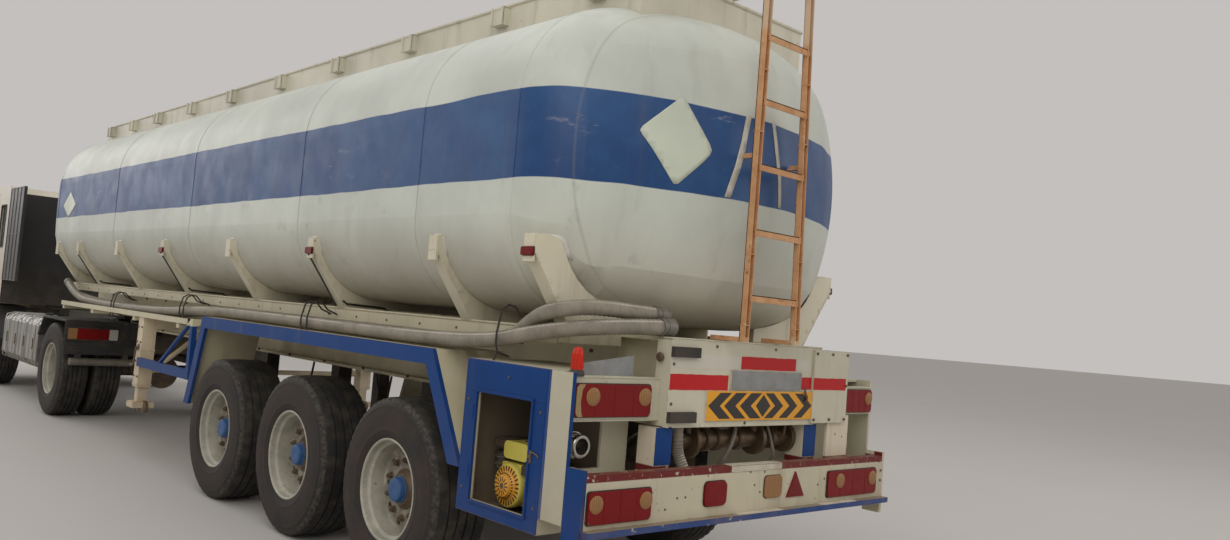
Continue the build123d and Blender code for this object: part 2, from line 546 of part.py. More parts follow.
door = plate("y", CAB_HY - CAB_T, CAB_HY, DOOR) - plate("y", CAB_HY - CAB_T - 5, CAB_HY + 5, D_WIN)
door = door + bx(13180, 13330, CAB_HY - 2, CAB_HY + 16, 1800, 1830)
for z in (1400.0, 1850.0):
    door = door + rod((DOOR_HX - 8, DOOR_HY - 8, z), (DOOR_HX - 8, DOOR_HY - 8, z + 70), 8)
pane = plate("y", CAB_HY - 24, CAB_HY - 18, D_WIN)
node("door_left", door)
node("door_right", other_side(door))
node("door_glass_left", pane)
node("door_glass_right", other_side(pane))

# inside the cab: dashboard, engine cover, seats, steering column
SEAT_Y = 600.0
C = Vector(13800, SEAT_Y, 1830)
A = Vector(-0.5, 0, 0.8660254)
dash = plate("y", -1185, 1185, [(14060, 1540), (14390, 1480), (14390, 1780), (14150, 1800)])
tunnel = bx(12490, 13900, -280, 280, 1220, 1440)
seat = add(bx(13000, 13500, SEAT_Y - 250, SEAT_Y + 250, 1480, 1600),
           plate("y", SEAT_Y - 240, SEAT_Y + 240, [(12860, 1560), (13000, 1560), (12900, 2320), (12800, 2320)]),
           bx(12850, 13010, SEAT_Y - 240, SEAT_Y + 240, 1480, 1600),
           bx(13050, 13450, SEAT_Y - 180, SEAT_Y + 180, 1220, 1490))
column = rod(tuple(C - A * 45), (14130, SEAT_Y, 1258), 30)
node("cab_interior", dash, tunnel, seat, other_side(seat), column + bx(14090, 14170, SEAT_Y - 50, SEAT_Y + 50, 1220, 1290))
wheel_plane = Plane(origin=C, z_dir=A)
sw = Solid.make_torus(215, 15, wheel_plane) + Solid.make_cylinder(45, 34, Plane(origin=C - A * 34, z_dir=A))
for deg in (0, 120, 240):
    t = math.radians(deg)
    out = wheel_plane.from_local_coords(Vector(210 * math.cos(t), 210 * math.sin(t), 0))
    sw = sw + rod(tuple(C - A * 15), tuple(out), 11)
node("steering_wheel", sw)

mirror_arm = add(bx(14235, 14300, 1300, 1450, 1960, 2400), bx(14240, 14268, CAB_HY, 1302, 2330, 2358),
                 bx(14240, 14268, CAB_HY, 1302, 1990, 2018))
node("mirrors", *both(mirror_arm))
node("side_fairings", *both(bx(11650, 12450, 1200, 1230, 1500, 2780)))

# ---------------------------------------------------------------- hoses on the tray
# route points (x, y, z) of each delivery hose; both lie strapped along the left side
HOSE_R = 42.0
HOSES = {
    "outer": ((165, 575, 1600), (170, 760, 1596), (290, 1040, 1570), (520, 1158, 1528), (900, 1152, 1455), (1600, 1154, 1430), (2600, 1144, 1432),
              (3700, 1152, 1431), (4850, 1146, 1432), (5850, 1150, 1372), (6950, 1142, 1353), (8050, 1150, 1357),
              (8950, 1142, 1392), (9650, 1072, 1555)),
    "inner": ((250, 545, 1655), (256, 800, 1666), (300, 1030, 1672), (430, 1135, 1644), (600, 1112, 1604), (900, 1044, 1460), (1500, 1040, 1430), (2450, 1048, 1431),
              (3550, 1038, 1429), (4700, 1044, 1431), (5800, 1036, 1374), (6900, 1048, 1352), (7950, 1038, 1354),
              (8800, 1040, 1378), (9350, 1022, 1418)),
}
tubes = []
for name, pts in HOSES.items():
    v = [Vector(*p) for p in pts]
    radii = []
    for i in range(1, len(v) - 1):
        a, b = v[i] - v[i - 1], v[i + 1] - v[i]
        half = math.radians(a.get_angle(b)) / 2
        radii.append(round(0.45 * min(a.length, b.length) / math.tan(half), 1))
    path = FilletPolyline(*v, radius=radii)
    start = Plane(origin=v[0], z_dir=v[1] - v[0])
    tube = sweep(start * Circle(HOSE_R), path=path)
    length = path.length if hasattr(path, "length") else 0
    print(name, "radii", radii, "length", round(length), "volume ratio",
          round(tube.volume / (math.pi * HOSE_R ** 2 * length), 4))
    tubes.append(tube)
node("hoses", *tubes)

# ---------------------------------------------------------------- write
for name, solids in NODES.items():
    moved = [s.moved(Location((XS, 0, 0))) for s in solids]
    shape = moved[0] if len(moved) == 1 else Compound(moved)
    export_step(shape, "parts/%s.step" % name)
print(len(NODES), "nodes")
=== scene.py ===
import math
import random
import bpy
import bmesh
from mathutils import Matrix, Vector
from mathutils.bvhtree import BVHTree


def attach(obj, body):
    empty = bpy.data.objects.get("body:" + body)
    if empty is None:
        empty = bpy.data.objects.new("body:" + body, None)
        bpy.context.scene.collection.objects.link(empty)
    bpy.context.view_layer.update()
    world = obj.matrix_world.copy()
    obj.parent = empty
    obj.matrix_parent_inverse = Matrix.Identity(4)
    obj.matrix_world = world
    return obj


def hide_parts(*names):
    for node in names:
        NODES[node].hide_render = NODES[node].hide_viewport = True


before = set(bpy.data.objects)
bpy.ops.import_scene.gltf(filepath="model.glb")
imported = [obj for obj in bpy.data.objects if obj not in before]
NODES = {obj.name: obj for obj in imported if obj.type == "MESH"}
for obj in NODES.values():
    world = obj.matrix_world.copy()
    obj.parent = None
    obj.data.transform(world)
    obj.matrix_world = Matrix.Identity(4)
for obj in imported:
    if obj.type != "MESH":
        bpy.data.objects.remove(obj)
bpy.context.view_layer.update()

XS = -7200.0                     # lengths below are mm, with X from the bumper's rear face
rnd = random.Random(7)
pi = math.pi


def srgb(r, g, b):
    return tuple((c / 255 / 12.92) if c <= 10.3 else ((c / 255 + 0.055) / 1.055) ** 2.4 for c in (r, g, b)) + (1.0,)


# ------------------------------------------------------------------ materials
class Graph:
    def __init__(self, name):
        self.mat = bpy.data.materials.new(name)
        self.mat.use_nodes = True
        self.t = self.mat.node_tree
        self.t.nodes.clear()
        out = self.t.nodes.new("ShaderNodeOutputMaterial")
        self.bsdf = self.t.nodes.new("ShaderNodeBsdfPrincipled")
        self.t.links.new(self.bsdf.outputs[0], out.inputs[0])
        self.co = self.t.nodes.new("ShaderNodeTexCoord").outputs["Object"]
        sep = self.t.nodes.new("ShaderNodeSeparateXYZ")
        self.t.links.new(self.co, sep.inputs[0])
        self.x, self.y, self.z = sep.outputs
        self._up = None

    def put(self, socket, value):
        if isinstance(value, bpy.types.NodeSocket):
            self.t.links.new(value, socket)
        else:
            socket.default_value = value

    def math(self, op, a, b=0.0, clamp=False):
        n = self.t.nodes.new("ShaderNodeMath")
        n.operation = op
        n.use_clamp = clamp
        self.put(n.inputs[0], a)
        self.put(n.inputs[1], b)
        return n.outputs[0]

    def stretch(self, sx, sy, sz):
        n = self.t.nodes.new("ShaderNodeMapping")
        self.put(n.inputs["Vector"], self.co)
        n.inputs["Scale"].default_value = (sx, sy, sz)
        return n.outputs[0]

    def noise(self, scale, detail=3.0, rough=0.55, vec=None, twist=0.0):
        n = self.t.nodes.new("ShaderNodeTexNoise")
        self.put(n.inputs["Vector"], vec if vec is not None else self.co)
        n.inputs["Scale"].default_value = scale
        n.inputs["Detail"].default_value = detail
        n.inputs["Roughness"].default_value = rough
        n.inputs["Distortion"].default_value = twist
        return n.outputs["Fac"] if "Fac" in n.outputs else n.outputs[0]

    def ramp(self, v, lo, hi, a=0.0, b=1.0):
        n = self.t.nodes.new("ShaderNodeMapRange")
        n.interpolation_type = "SMOOTHSTEP"
        self.put(n.inputs["Value"], v)
        n.inputs["From Min"].default_value = min(lo, hi)
        n.inputs["From Max"].default_value = max(lo, hi)
        n.inputs["To Min"].default_value = a if lo <= hi else b
        n.inputs["To Max"].default_value = b if lo <= hi else a
        return n.outputs[0]

    def within(self, v, lo, hi, soft=0.002):
        a = self.ramp(v, lo - soft, lo + soft)
        b = self.ramp(v, hi + soft, hi - soft)
        return self.math("MULTIPLY", a, b)

    def mix(self, fac, a, b):
        n = self.t.nodes.new("ShaderNodeMix")
        n.data_type = "RGBA"
        self.put(n.inputs[0], fac)
        self.put(n.inputs[6], a)
        self.put(n.inputs[7], b)
        return n.outputs[2]

    def both(self, a, b):
        return self.math("MULTIPLY", a, b)

    def most(self, a, b):
        return self.math("MAXIMUM", a, b)

    def up(self):
        if self._up is None:
            g = self.t.nodes.new("ShaderNodeNewGeometry")
            s = self.t.nodes.new("ShaderNodeSeparateXYZ")
            self.t.links.new(g.outputs["Normal"], s.inputs[0])
            self._up = s.outputs[2]
        return self._up

    def edges(self, radius, lo=0.03, hi=0.25):
        """1 near sharp edges, from a rounded normal."""
        b = self.t.nodes.new("ShaderNodeBevel")
        b.samples = 3
        b.inputs["Radius"].default_value = radius
        g = self.t.nodes.new("ShaderNodeNewGeometry")
        d = self.t.nodes.new("ShaderNodeVectorMath")
        d.operation = "DOT_PRODUCT"
        self.t.links.new(b.outputs[0], d.inputs[0])
        self.t.links.new(g.outputs["Normal"], d.inputs[1])
        return self.ramp(self.math("SUBTRACT", 1.0, d.outputs["Value"]), lo, hi)

    def attr(self, name):
        n = self.t.nodes.new("ShaderNodeAttribute")
        n.attribute_name = name
        return n.outputs["Fac"]

    def bump(self, height, strength=0.3, distance=0.004):
        n = self.t.nodes.new("ShaderNodeBump")
        n.inputs["Strength"].default_value = strength
        n.inputs["Distance"].default_value = distance
        self.put(n.inputs["Height"], height)
        self.put(self.bsdf.inputs["Normal"], n.outputs[0])

    def done(self, color, rough, metallic=None, **sockets):
        self.put(self.bsdf.inputs["Base Color"], color)
        self.put(self.bsdf.inputs["Roughness"], rough)
        if metallic is not None:
            self.put(self.bsdf.inputs["Metallic"], metallic)
        for k, v in sockets.items():
            self.bsdf.inputs[k.replace("_", " ")].default_value = v
        return self.mat


DUST = srgb(150, 128, 100)
RUST = srgb(112, 62, 34)
SOOT = srgb(46, 42, 38)


def paint(name, base, rough=0.42, streak=0.3, dust=0.35, rust=0.3, wear=0.5, extra=None, low=0.0, high=1.5,
          wear_color=RUST, dent=0.25, spec=0.5):
    """Weathered paint: cloudy fading, rain streaks, road dust low down and on ledges, chipped edges, rust specks."""
    g = Graph(name)
    cloud = g.noise(1.1, 4.0, 0.6)
    c = g.mix(g.ramp(cloud, 0.3, 0.7), tuple(v * 0.86 for v in base[:3]) + (1,), tuple(min(1, v * 1.06) for v in base[:3]) + (1,))
    if extra:
        c = extra(g, c)
    run = g.noise(1.0, 5.0, 0.65, g.stretch(9.0, 9.0, 0.8))
    c = g.mix(g.math("MULTIPLY", g.ramp(run, 0.52, 0.78), streak), c, srgb(120, 108, 92))
    # dust: thick low down, thin on upward faces
    patch = g.noise(5.0, 4.0, 0.6)
    lowm = g.both(g.ramp(g.z, high, low), g.ramp(patch, 0.2, 0.75))
    upm = g.both(g.ramp(g.up(), 0.35, 0.95), g.ramp(patch, 0.3, 0.65))
    dm = g.math("MULTIPLY", g.most(lowm, upm), dust)
    c = g.mix(dm, c, DUST)
    speck = g.noise(34.0, 2.0, 0.6)
    big = g.noise(2.3, 3.0, 0.6)
    edge = g.edges(0.007)
    chip = g.both(edge, g.ramp(g.noise(22.0, 3.0, 0.7), 0.46, 0.6))
    spots = g.both(g.ramp(speck, 0.70, 0.76), g.ramp(big, 0.42, 0.6))
    rm = g.most(g.math("MULTIPLY", chip, wear), g.math("MULTIPLY", spots, rust))
    c = g.mix(rm, c, g.mix(g.noise(60.0), wear_color, SOOT))
    r = g.math("ADD", g.math("MULTIPLY", g.most(dm, rm), 0.35), g.ramp(patch, 0.2, 0.8, rough - 0.05, rough + 0.08))
    h = g.math("ADD", g.math("MULTIPLY", g.noise(7.0, 2.0), dent), g.math("MULTIPLY", g.noise(260.0, 2.0), 0.06))
    h = g.math("SUBTRACT", h, g.math("MULTIPLY", rm, 0.3))
    g.bump(h, 0.22, 0.006)
    return g.done(c, r, Specular_IOR_Level=spec)


BLUE = srgb(4, 60, 124)
CREAM = srgb(204, 197, 168)
WHITE = srgb(200, 206, 196)


def tank_extra(g, c):
    # blue band all round with a slightly hand-painted edge, faint weld lines, scuffs and chalky runs
    wob = g.math("MULTIPLY", g.math("SUBTRACT", g.noise(2.2, 2.0), 0.5), 0.022)
    zz = g.math("ADD", g.z, wob)
    band = g.within(zz, 2.300, 2.765, 0.003)
    fade = g.mix(g.ramp(g.noise(1.7, 5.0, 0.7), 0.35, 0.75), srgb(10, 62, 116), srgb(30, 82, 134))
    c = g.mix(band, c, fade)
    scuff = g.both(g.ramp(g.noise(3.0, 6.0, 0.7, g.stretch(0.7, 0.7, 3.0)), 0.62, 0.72),
                   g.ramp(g.noise(0.9, 2.0), 0.45, 0.6))
    c = g.mix(g.math("MULTIPLY", scuff, 0.35), c, srgb(196, 193, 186))
    lines = None
    for x in (7.45, 5.30, 3.19, 1.64, 0.42):
        m = g.within(g.x, x - 7.2 - 0.004, x - 7.2 + 0.004, 0.004)
        lines = m if lines is None else g.most(lines, m)
    c = g.mix(g.math("MULTIPLY", lines, 0.25), c, srgb(120, 118, 112))
    # painted light: a warm bounce from the ground, tinting the lower sides and belly tan
    belly_painted_bounce = g.math("MULTIPLY", g.ramp(g.z, 2.25, 1.62), 0.45)
    c = g.mix(belly_painted_bounce, c, srgb(176, 160, 132))
    soot = g.both(g.ramp(g.noise(4.5, 5.0, 0.7), 0.60, 0.72), g.ramp(g.z, 2.9, 2.2))
    return g.mix(g.math("MULTIPLY", soot, 0.22), c, srgb(120, 116, 106))


def engine_extra(g, c):
    # the recoil cover is more orange than the engine's own faded yellow-green
    dx = g.math("SUBTRACT", g.x, -6.510)
    dz = g.math("SUBTRACT", g.z, 0.738)
    d2 = g.math("ADD", g.math("MULTIPLY", dx, dx), g.math("MULTIPLY", dz, dz))
    return g.mix(g.ramp(d2, 0.0102, 0.0088), c, srgb(222, 156, 40))


def guard_extra(g, c):
    side = g.ramp(g.math("ABSOLUTE", g.y), 1.2243, 1.2247)
    return g.mix(side, c, BLUE)


def bumper_extra(g, c):
    red = g.both(g.ramp(g.z, 0.872, 0.876), g.ramp(g.math("ABSOLUTE", g.y), 1.235, 1.225))
    worn = g.ramp(g.noise(26.0, 4.0, 0.7), 0.66, 0.60)
    c = g.mix(g.both(red, worn), c, srgb(104, 26, 30))
    ends = g.ramp(g.y, 1.2243, 1.2247)
    c = g.mix(ends, c, srgb(6, 54, 110))
    posts = g.both(g.ramp(g.x, -7.150, -7.140), g.ramp(g.z, 0.905, 0.912))
    c = g.mix(g.both(red, posts), c, srgb(212, 202, 180))
    ledge = g.both(g.ramp(g.x, -7.2485, -7.2495), g.ramp(g.z, 0.70, 0.69))
    c = g.mix(g.both(ledge, g.ramp(g.noise(18.0, 3.0, 0.6), 0.72, 0.62)), c, srgb(8, 62, 128))
    top = g.both(g.ramp(g.x, -7.199, -7.203), g.both(g.ramp(g.z, 0.70, 0.69), g.ramp(g.up(), 0.5, 0.9)))
    return g.mix(g.math("MULTIPLY", top, 0.8), c, srgb(118, 106, 90))


def cabinet_frame_and_painted_shade(g, c):
    # blue frame round the left opening
    # and painted shade inside it, round the pump, in a mottled dark brown
    inside = g.both(g.both(g.within(g.x, -6.885, -6.250, 0.002), g.within(g.z, 0.596, 1.345, 0.002)), g.within(g.y, 0.715, 1.235, 0.002))
    # the painted shade colour of the recess: dark brown, mottled
    grime = g.mix(g.ramp(g.noise(4.0, 4.0, 0.6), 0.3, 0.7), srgb(58, 42, 30), srgb(96, 74, 52))
    c = g.mix(g.math("MULTIPLY", inside, 0.78), c, grime)
    f = g.both(g.within(g.x, -6.925, -6.235, 0.001), g.ramp(g.y, 1.2475, 1.2485))
    return g.mix(f, c, BLUE)


def guards_blue(g, c):
    m = g.ramp(g.z, 1.29, 1.28)
    return g.mix(m, c, BLUE)


def frame_extra(g, c):
    damp = g.both(g.ramp(g.noise(2.0, 4.0, 0.7), 0.45, 0.75), g.ramp(g.z, 1.6, 1.0))
    return g.mix(g.math("MULTIPLY", damp, 0.5), c, srgb(118, 96, 74))


def steel(name, base, rough=0.5, metallic=0.4, rust=0.4, dust=0.4, high=1.3):
    """Bare or thinly coated steel with road film and rust blooms."""
    g = Graph(name)
    n = g.noise(6.0, 5.0, 0.65)
    c = g.mix(g.ramp(n, 0.3, 0.7), tuple(v * 0.75 for v in base[:3]) + (1,), base)
    bloom = g.both(g.ramp(g.noise(14.0, 5.0, 0.7), 0.55, 0.68), g.ramp(g.noise(2.0, 2.0), 0.35, 0.6))
    rm = g.math("MULTIPLY", bloom, rust)
    c = g.mix(rm, c, RUST)
    edge = g.edges(0.005)
    c = g.mix(g.math("MULTIPLY", edge, 0.25), c, tuple(min(1, v * 1.7 + 0.03) for v in base[:3]) + (1,))
    dm = g.math("MULTIPLY", g.both(g.ramp(g.z, high, 0.2), g.ramp(n, 0.25, 0.7)), dust)
    dm = g.most(dm, g.math("MULTIPLY", g.both(g.ramp(g.up(), 0.4, 0.95), g.ramp(n, 0.35, 0.6)), dust * 0.8))
    c = g.mix(dm, c, DUST)
    g.bump(g.noise(90.0, 4.0, 0.6), 0.18, 0.002)
    m = g.math("MULTIPLY", g.math("SUBTRACT", 1.0, g.most(dm, rm)), metallic)
    return g.done(c, g.math("ADD", g.math("MULTIPLY", g.most(dm, rm), 0.35), rough), m)


def rubber(name, base=srgb(38, 37, 36), dusty=0.5, rough=0.75, painted_highlight=0.0):
    g = Graph(name)
    n = g.noise(9.0, 4.0, 0.6)
    c = g.mix(g.ramp(n, 0.3, 0.7), base, tuple(v * 1.5 for v in base[:3]) + (1,))
    c = g.mix(g.math("MULTIPLY", g.both(g.ramp(g.noise(4.0, 4.0), 0.35, 0.7), g.ramp(g.z, 2.4, 0.2)), dusty), c, srgb(110, 96, 78))
    if painted_highlight:
        # a painted highlight: a pale line along the upper side of a hose, broken here and there
        line = g.both(g.within(g.up(), 0.60, 0.78, 0.05), g.ramp(g.noise(3.0, 3.0, 0.6), 0.36, 0.52))
        c = g.mix(g.math("MULTIPLY", line, painted_highlight), c, srgb(206, 200, 186))
    g.bump(g.noise(140.0, 3.0), 0.2, 0.0015)
    return g.done(c, g.ramp(n, 0.2, 0.8, rough - 0.08, rough + 0.1))


def tyre_mat():
    """Rubber by its place on the tyre: 'wear' runs 0 at the bead to 1 at the tread, above 1 across the tread."""
    g = Graph("tyre_rubber")
    w = g.attr("wear")
    n = g.noise(5.0, 5.0, 0.65)
    f = g.noise(46.0, 4.0, 0.7)
    c = g.mix(g.ramp(n, 0.3, 0.7), srgb(26, 25, 24), srgb(38, 36, 33))
    wall = g.within(w, 0.10, 0.80, 0.10)
    dirt = g.both(wall, g.ramp(g.math("ADD", g.math("MULTIPLY", n, 0.7), g.math("MULTIPLY", f, 0.3)), 0.36, 0.62))
    c = g.mix(g.math("MULTIPLY", dirt, 0.55), c, srgb(66, 51, 40))
    sh = g.within(w, 0.84, 1.0, 0.06)
    c = g.mix(g.math("MULTIPLY", g.both(sh, g.ramp(f, 0.35, 0.7)), 0.5), c, srgb(104, 95, 84))
    tread = g.ramp(w, 1.01, 1.03)
    c = g.mix(g.math("MULTIPLY", g.both(tread, g.ramp(g.noise(12.0, 4.0), 0.4, 0.7)), 0.4), c, srgb(84, 76, 66))
    rings = g.math("SINE", g.math("MULTIPLY", w, 150.0))
    h = g.math("ADD", g.math("MULTIPLY", g.both(rings, wall), 0.10), g.math("MULTIPLY", f, 0.5))
    g.bump(h, 0.3, 0.003)
    return g.done(c, g.ramp(n, 0.2, 0.8, 0.66, 0.86))


def wheel_paint():
    """Off-white wheel paint: brake dust and painted shade, darker the deeper into the wheel, scuffed lip, rust at the
    joints.
    """
    g = Graph("wheel_paint")
    n = g.noise(7.0, 5.0, 0.65)
    w = g.attr("wear")
    c = g.mix(g.ramp(n, 0.3, 0.7), srgb(150, 148, 134), srgb(178, 175, 160))
    # brake dust and painted shade: darker where the 'wear' place value puts the surface deeper in the wheel
    deep = g.both(g.ramp(w, 0.85, 0.2), g.ramp(g.noise(11.0, 4.0, 0.65), 0.25, 0.65))
    c = g.mix(g.math("MULTIPLY", deep, 0.75), c, srgb(88, 76, 64))
    c = g.mix(g.math("MULTIPLY", g.ramp(g.noise(26.0, 5.0, 0.7), 0.60, 0.70), 0.6), c, srgb(104, 70, 48))
    edge = g.edges(0.004)
    c = g.mix(g.math("MULTIPLY", g.both(edge, g.ramp(n, 0.4, 0.6)), 0.5), c, srgb(214, 208, 196))
    g.bump(g.noise(60.0, 3.0), 0.15, 0.002)
    return g.done(c, g.ramp(n, 0.2, 0.8, 0.45, 0.62))


def rust_mat():
    """Orange rust over old primer, for the ladder."""
    g = Graph("ladder_rust")
    n = g.noise(9.0, 6.0, 0.7)
    c = g.mix(g.ramp(n, 0.32, 0.68), srgb(204, 158, 114), srgb(184, 134, 90))
    c = g.mix(g.ramp(g.noise(30.0, 4.0, 0.7), 0.62, 0.72), c, srgb(132, 78, 46))
    old = g.ramp(g.noise(3.2, 5.0, 0.75), 0.56, 0.64)
    c = g.mix(g.math("MULTIPLY", old, 0.85), c, srgb(206, 190, 160))
    top = g.ramp(g.z, 3.18, 3.24)
    c = g.mix(g.math("MULTIPLY", top, 0.55), c, srgb(205, 192, 168))
    g.bump(g.noise(70.0, 5.0, 0.7), 0.4, 0.002)
    return g.done(c, g.ramp(n, 0.2, 0.8, 0.6, 0.85))


def lens(name, color, rough=0.18, ribs=120.0, axis="y", glow=0.0):
    """Moulded lens: a ribbed, glossy plastic with a scratched and dusty skin."""
    g = Graph(name)
    n = g.noise(10.0, 4.0, 0.6)
    src = {"x": g.x, "y": g.y, "z": g.z}[axis]
    rib = g.math("SINE", g.math("MULTIPLY", src, ribs * 6.28))
    prism = g.math("SINE", g.math("MULTIPLY", g.z, ribs * 6.28))
    c = g.mix(g.ramp(rib, -1.0, 1.0), tuple(v * 0.72 for v in color[:3]) + (1,), color)
    c = g.mix(g.math("MULTIPLY", g.ramp(n, 0.5, 0.8), 0.10), c, srgb(110, 78, 62))
    g.bump(g.math("ADD", rib, prism), 0.25, 0.0012)
    return g.done(c, g.ramp(n, 0.2, 0.8, rough, rough + 0.25), Specular_IOR_Level=0.2, Coat_Weight=0.1, Coat_Roughness=0.15)


def glass_mat():
    g = Graph("window_glass")
    n = g.noise(3.0, 3.0)
    c = g.mix(g.ramp(n, 0.3, 0.7), srgb(150, 165, 162), srgb(172, 184, 180))
    g.bump(g.noise(0.8, 1.0), 0.02, 0.004)
    m = g.done(c, g.ramp(g.noise(14.0, 4.0), 0.3, 0.8, 0.04, 0.12), Transmission_Weight=0.92, IOR=1.45, Alpha=1.0)
    return m


def plain(name, base, rough=0.5, metallic=0.0, grime=0.3, bumps=120.0, spread=0.8):
    """Small fittings: a mottled finish with grime in patches."""
    g = Graph(name)
    n = g.noise(12.0, 5.0, 0.65)
    c = g.mix(g.ramp(n, 0.3, 0.7), tuple(v * spread for v in base[:3]) + (1,), base)
    c = g.mix(g.math("MULTIPLY", g.ramp(g.noise(5.0, 4.0, 0.7), 0.45, 0.72), grime), c, srgb(104, 90, 72))
    g.bump(g.noise(bumps, 3.0), 0.18, 0.0015)
    return g.done(c, g.ramp(n, 0.2, 0.8, rough - 0.06, rough + 0.12), metallic)


M = {}
M["tank"] = paint("tank_paint", WHITE, 0.44, streak=0.14, dust=0.16, rust=0.08, wear=0.15, extra=tank_extra, low=1.4, high=2.2, dent=0.6)
M["tank_clean"] = paint("tank_doubler", srgb(210, 209, 202), 0.4, streak=0.1, dust=0.15, rust=0.15, wear=0.3)
M["cream"] = paint("cream_paint", CREAM, 0.46, streak=0.3, dust=0.35, rust=0.55, wear=0.55)
M["saddle"] = paint("saddle_paint", srgb(212, 206, 182), 0.46, streak=0.35, dust=0.3, rust=0.5, wear=0.5)
M["coaming"] = paint("coaming_paint", srgb(204, 200, 182), 0.5, streak=0.4, dust=0.4, rust=0.5, wear=0.5)
M["frame"] = paint("frame_paint", CREAM, 0.5, streak=0.4, dust=0.5, rust=0.6, wear=0.5, extra=frame_extra, low=0.7, high=1.7)
M["guard"] = paint("guard_paint", CREAM, 0.46, streak=0.3, dust=0.25, rust=0.4, wear=0.5, extra=guard_extra, spec=0.2)
M["bumper"] = paint("bumper_paint", srgb(200, 194, 170), 0.46, streak=0.4, dust=0.4, rust=0.9, wear=0.8, extra=bumper_extra, low=0.3, high=1.1, spec=0.25)
M["board"] = paint("board_paint", srgb(198, 194, 172), 0.45, streak=0.3, dust=0.2, rust=0.7, wear=0.6)
M["cabinet"] = paint("cabinet_paint", srgb(192, 188, 166), 0.45, streak=0.3, dust=0.35, rust=0.7, wear=0.8, extra=cabinet_frame_and_painted_shade, low=0.4, high=1.4)
M["blue"] = paint("blue_paint", srgb(4, 60, 124), 0.42, streak=0.06, dust=0.12, rust=0.4, wear=0.5, spec=0.16)
M["sideguard"] = paint("side_guard_paint", CREAM, 0.46, streak=0.3, dust=0.25, rust=0.4, wear=0.5, extra=guards_blue, spec=0.2)
M["leg"] = paint("leg_paint", srgb(214, 200, 172), 0.5, streak=0.4, dust=0.6, rust=0.7, wear=0.6)


def cab_rear_painted_shade(g, c):
    # painted shade: the rear wall, in the gap before the tank, is painted dark grey
    back = g.both(g.ramp(g.x, 5.256, 5.252), g.ramp(g.noise(6.0, 4.0), 0.0, 0.1))
    return g.mix(back, c, srgb(44, 42, 41))


M["cab"] = paint("cab_paint", srgb(206, 198, 180), 0.36, extra=cab_rear_painted_shade, streak=0.12, dust=0.25, rust=0.15, wear=0.25, low=0.6, high=1.9)
M["fairing"] = paint("fairing_paint", srgb(46, 45, 45), 0.42, streak=0.2, dust=0.25, rust=0.05, wear=0.2, wear_color=srgb(90, 88, 84), low=0.8, high=2.2)
M["yellow"] = paint("yellow_paint", srgb(208, 196, 84), 0.4, streak=0.2, dust=0.25, rust=0.3, wear=0.4, extra=engine_extra)
M["ladder"] = rust_mat()
M["dark"] = steel("dark_steel", srgb(58, 54, 50), 0.55, 0.3, rust=0.5, dust=0.55)
M["grey"] = steel("grey_steel", srgb(124, 122, 116), 0.45, 0.6, rust=0.4, dust=0.4)
M["alu"] = steel("aluminium", srgb(176, 176, 172), 0.32, 0.85, rust=0.05, dust=0.35)
M["chrome"] = steel("polished_steel", srgb(198, 196, 190), 0.18, 1.0, rust=0.1, dust=0.15)
M["bolt"] = steel("bolt_steel", srgb(108, 92, 76), 0.5, 0.5, rust=0.8, dust=0.3)
M["plastic"] = plain("dark_plastic", srgb(44, 43, 42), 0.55, grime=0.35)
M["plastic_grey"] = plain("grey_plastic", srgb(96, 95, 92), 0.55, grime=0.35)
M["trim"] = plain("cab_trim", srgb(72, 70, 66), 0.7, grime=0.15, bumps=400.0)
M["cloth"] = plain("seat_cloth", srgb(60, 64, 74), 0.85, grime=0.12, bumps=900.0, spread=0.6)
M["rubber"] = rubber("rubber")
M["tyre"] = tyre_mat()
M["wheel"] = wheel_paint()
M["hubblue"] = paint("hub_blue", srgb(14, 84, 142), 0.4, streak=0.1, dust=0.25, rust=0.25, wear=0.6, wear_color=srgb(60, 56, 52))
M["hose"] = rubber("hose_rubber", srgb(122, 116, 104), 0.25, 0.6, painted_highlight=0.55)
M["red"] = lens("red_lens", srgb(128, 2, 7), 0.3)
M["amber"] = lens("amber_lens", srgb(158, 116, 74), 0.3, 90.0)
M["clear"] = lens("clear_lens", srgb(196, 196, 190), 0.1, 60.0)
M["pipe_cast"] = plain("pipe_cast", srgb(104, 86, 66), 0.46, 0.55, grime=0.4, bumps=60.0)
M["side_lens"] = lens("side_lens", srgb(166, 142, 100), 0.35, 60.0)
M["reflector"] = lens("reflector_red", srgb(120, 22, 24), 0.3, 260.0)
M["beacon"] = lens("beacon_lens", srgb(206, 48, 26), 0.16, 90.0, "x")
M["tape_red"] = paint("tape_red", srgb(186, 24, 28), 0.35, spec=0.25, streak=0.1, dust=0.1, rust=0.0, wear=0.3, wear_color=srgb(200, 190, 176))
M["tape_white"] = paint("tape_white", srgb(200, 196, 182), 0.35, streak=0.15, dust=0.15, rust=0.0, wear=0.2, wear_color=srgb(150, 145, 134))
M["tape_yellow"] = paint("tape_yellow", srgb(226, 158, 22), 0.35, streak=0.1, dust=0.12, rust=0.0, wear=0.3, wear_color=srgb(120, 100, 60))
M["tape_black"] = paint("tape_black", srgb(34, 32, 30), 0.4, streak=0.1, dust=0.15, rust=0.0, wear=0.2, wear_color=srgb(110, 96, 70))
M["tape_patch"] = plain("anti_slip_patch", srgb(206, 198, 178), 0.85, grime=0.4, bumps=60.0)
M["sign"] = paint("blank_sign", srgb(206, 214, 196), 0.4, streak=0.1, dust=0.08, rust=0.0, wear=0.2, wear_color=srgb(150, 150, 140))
M["plate"] = plain("blank_plate", srgb(150, 152, 152), 0.4, metallic=0.5, grime=0.25)
M["glass"] = glass_mat()
M["mirror"] = plain("mirror_glass", srgb(200, 204, 206), 0.08, metallic=1.0, grime=0.05, bumps=8.0, spread=0.95)


# ------------------------------------------------------------------ mesh building
def axes(direction):
    d = Vector(direction).normalized()
    a = Vector((0, 0, 1)) if abs(d.z) < 0.9 else Vector((1, 0, 0))
    u = a.cross(d).normalized()
    return d, u, d.cross(u)


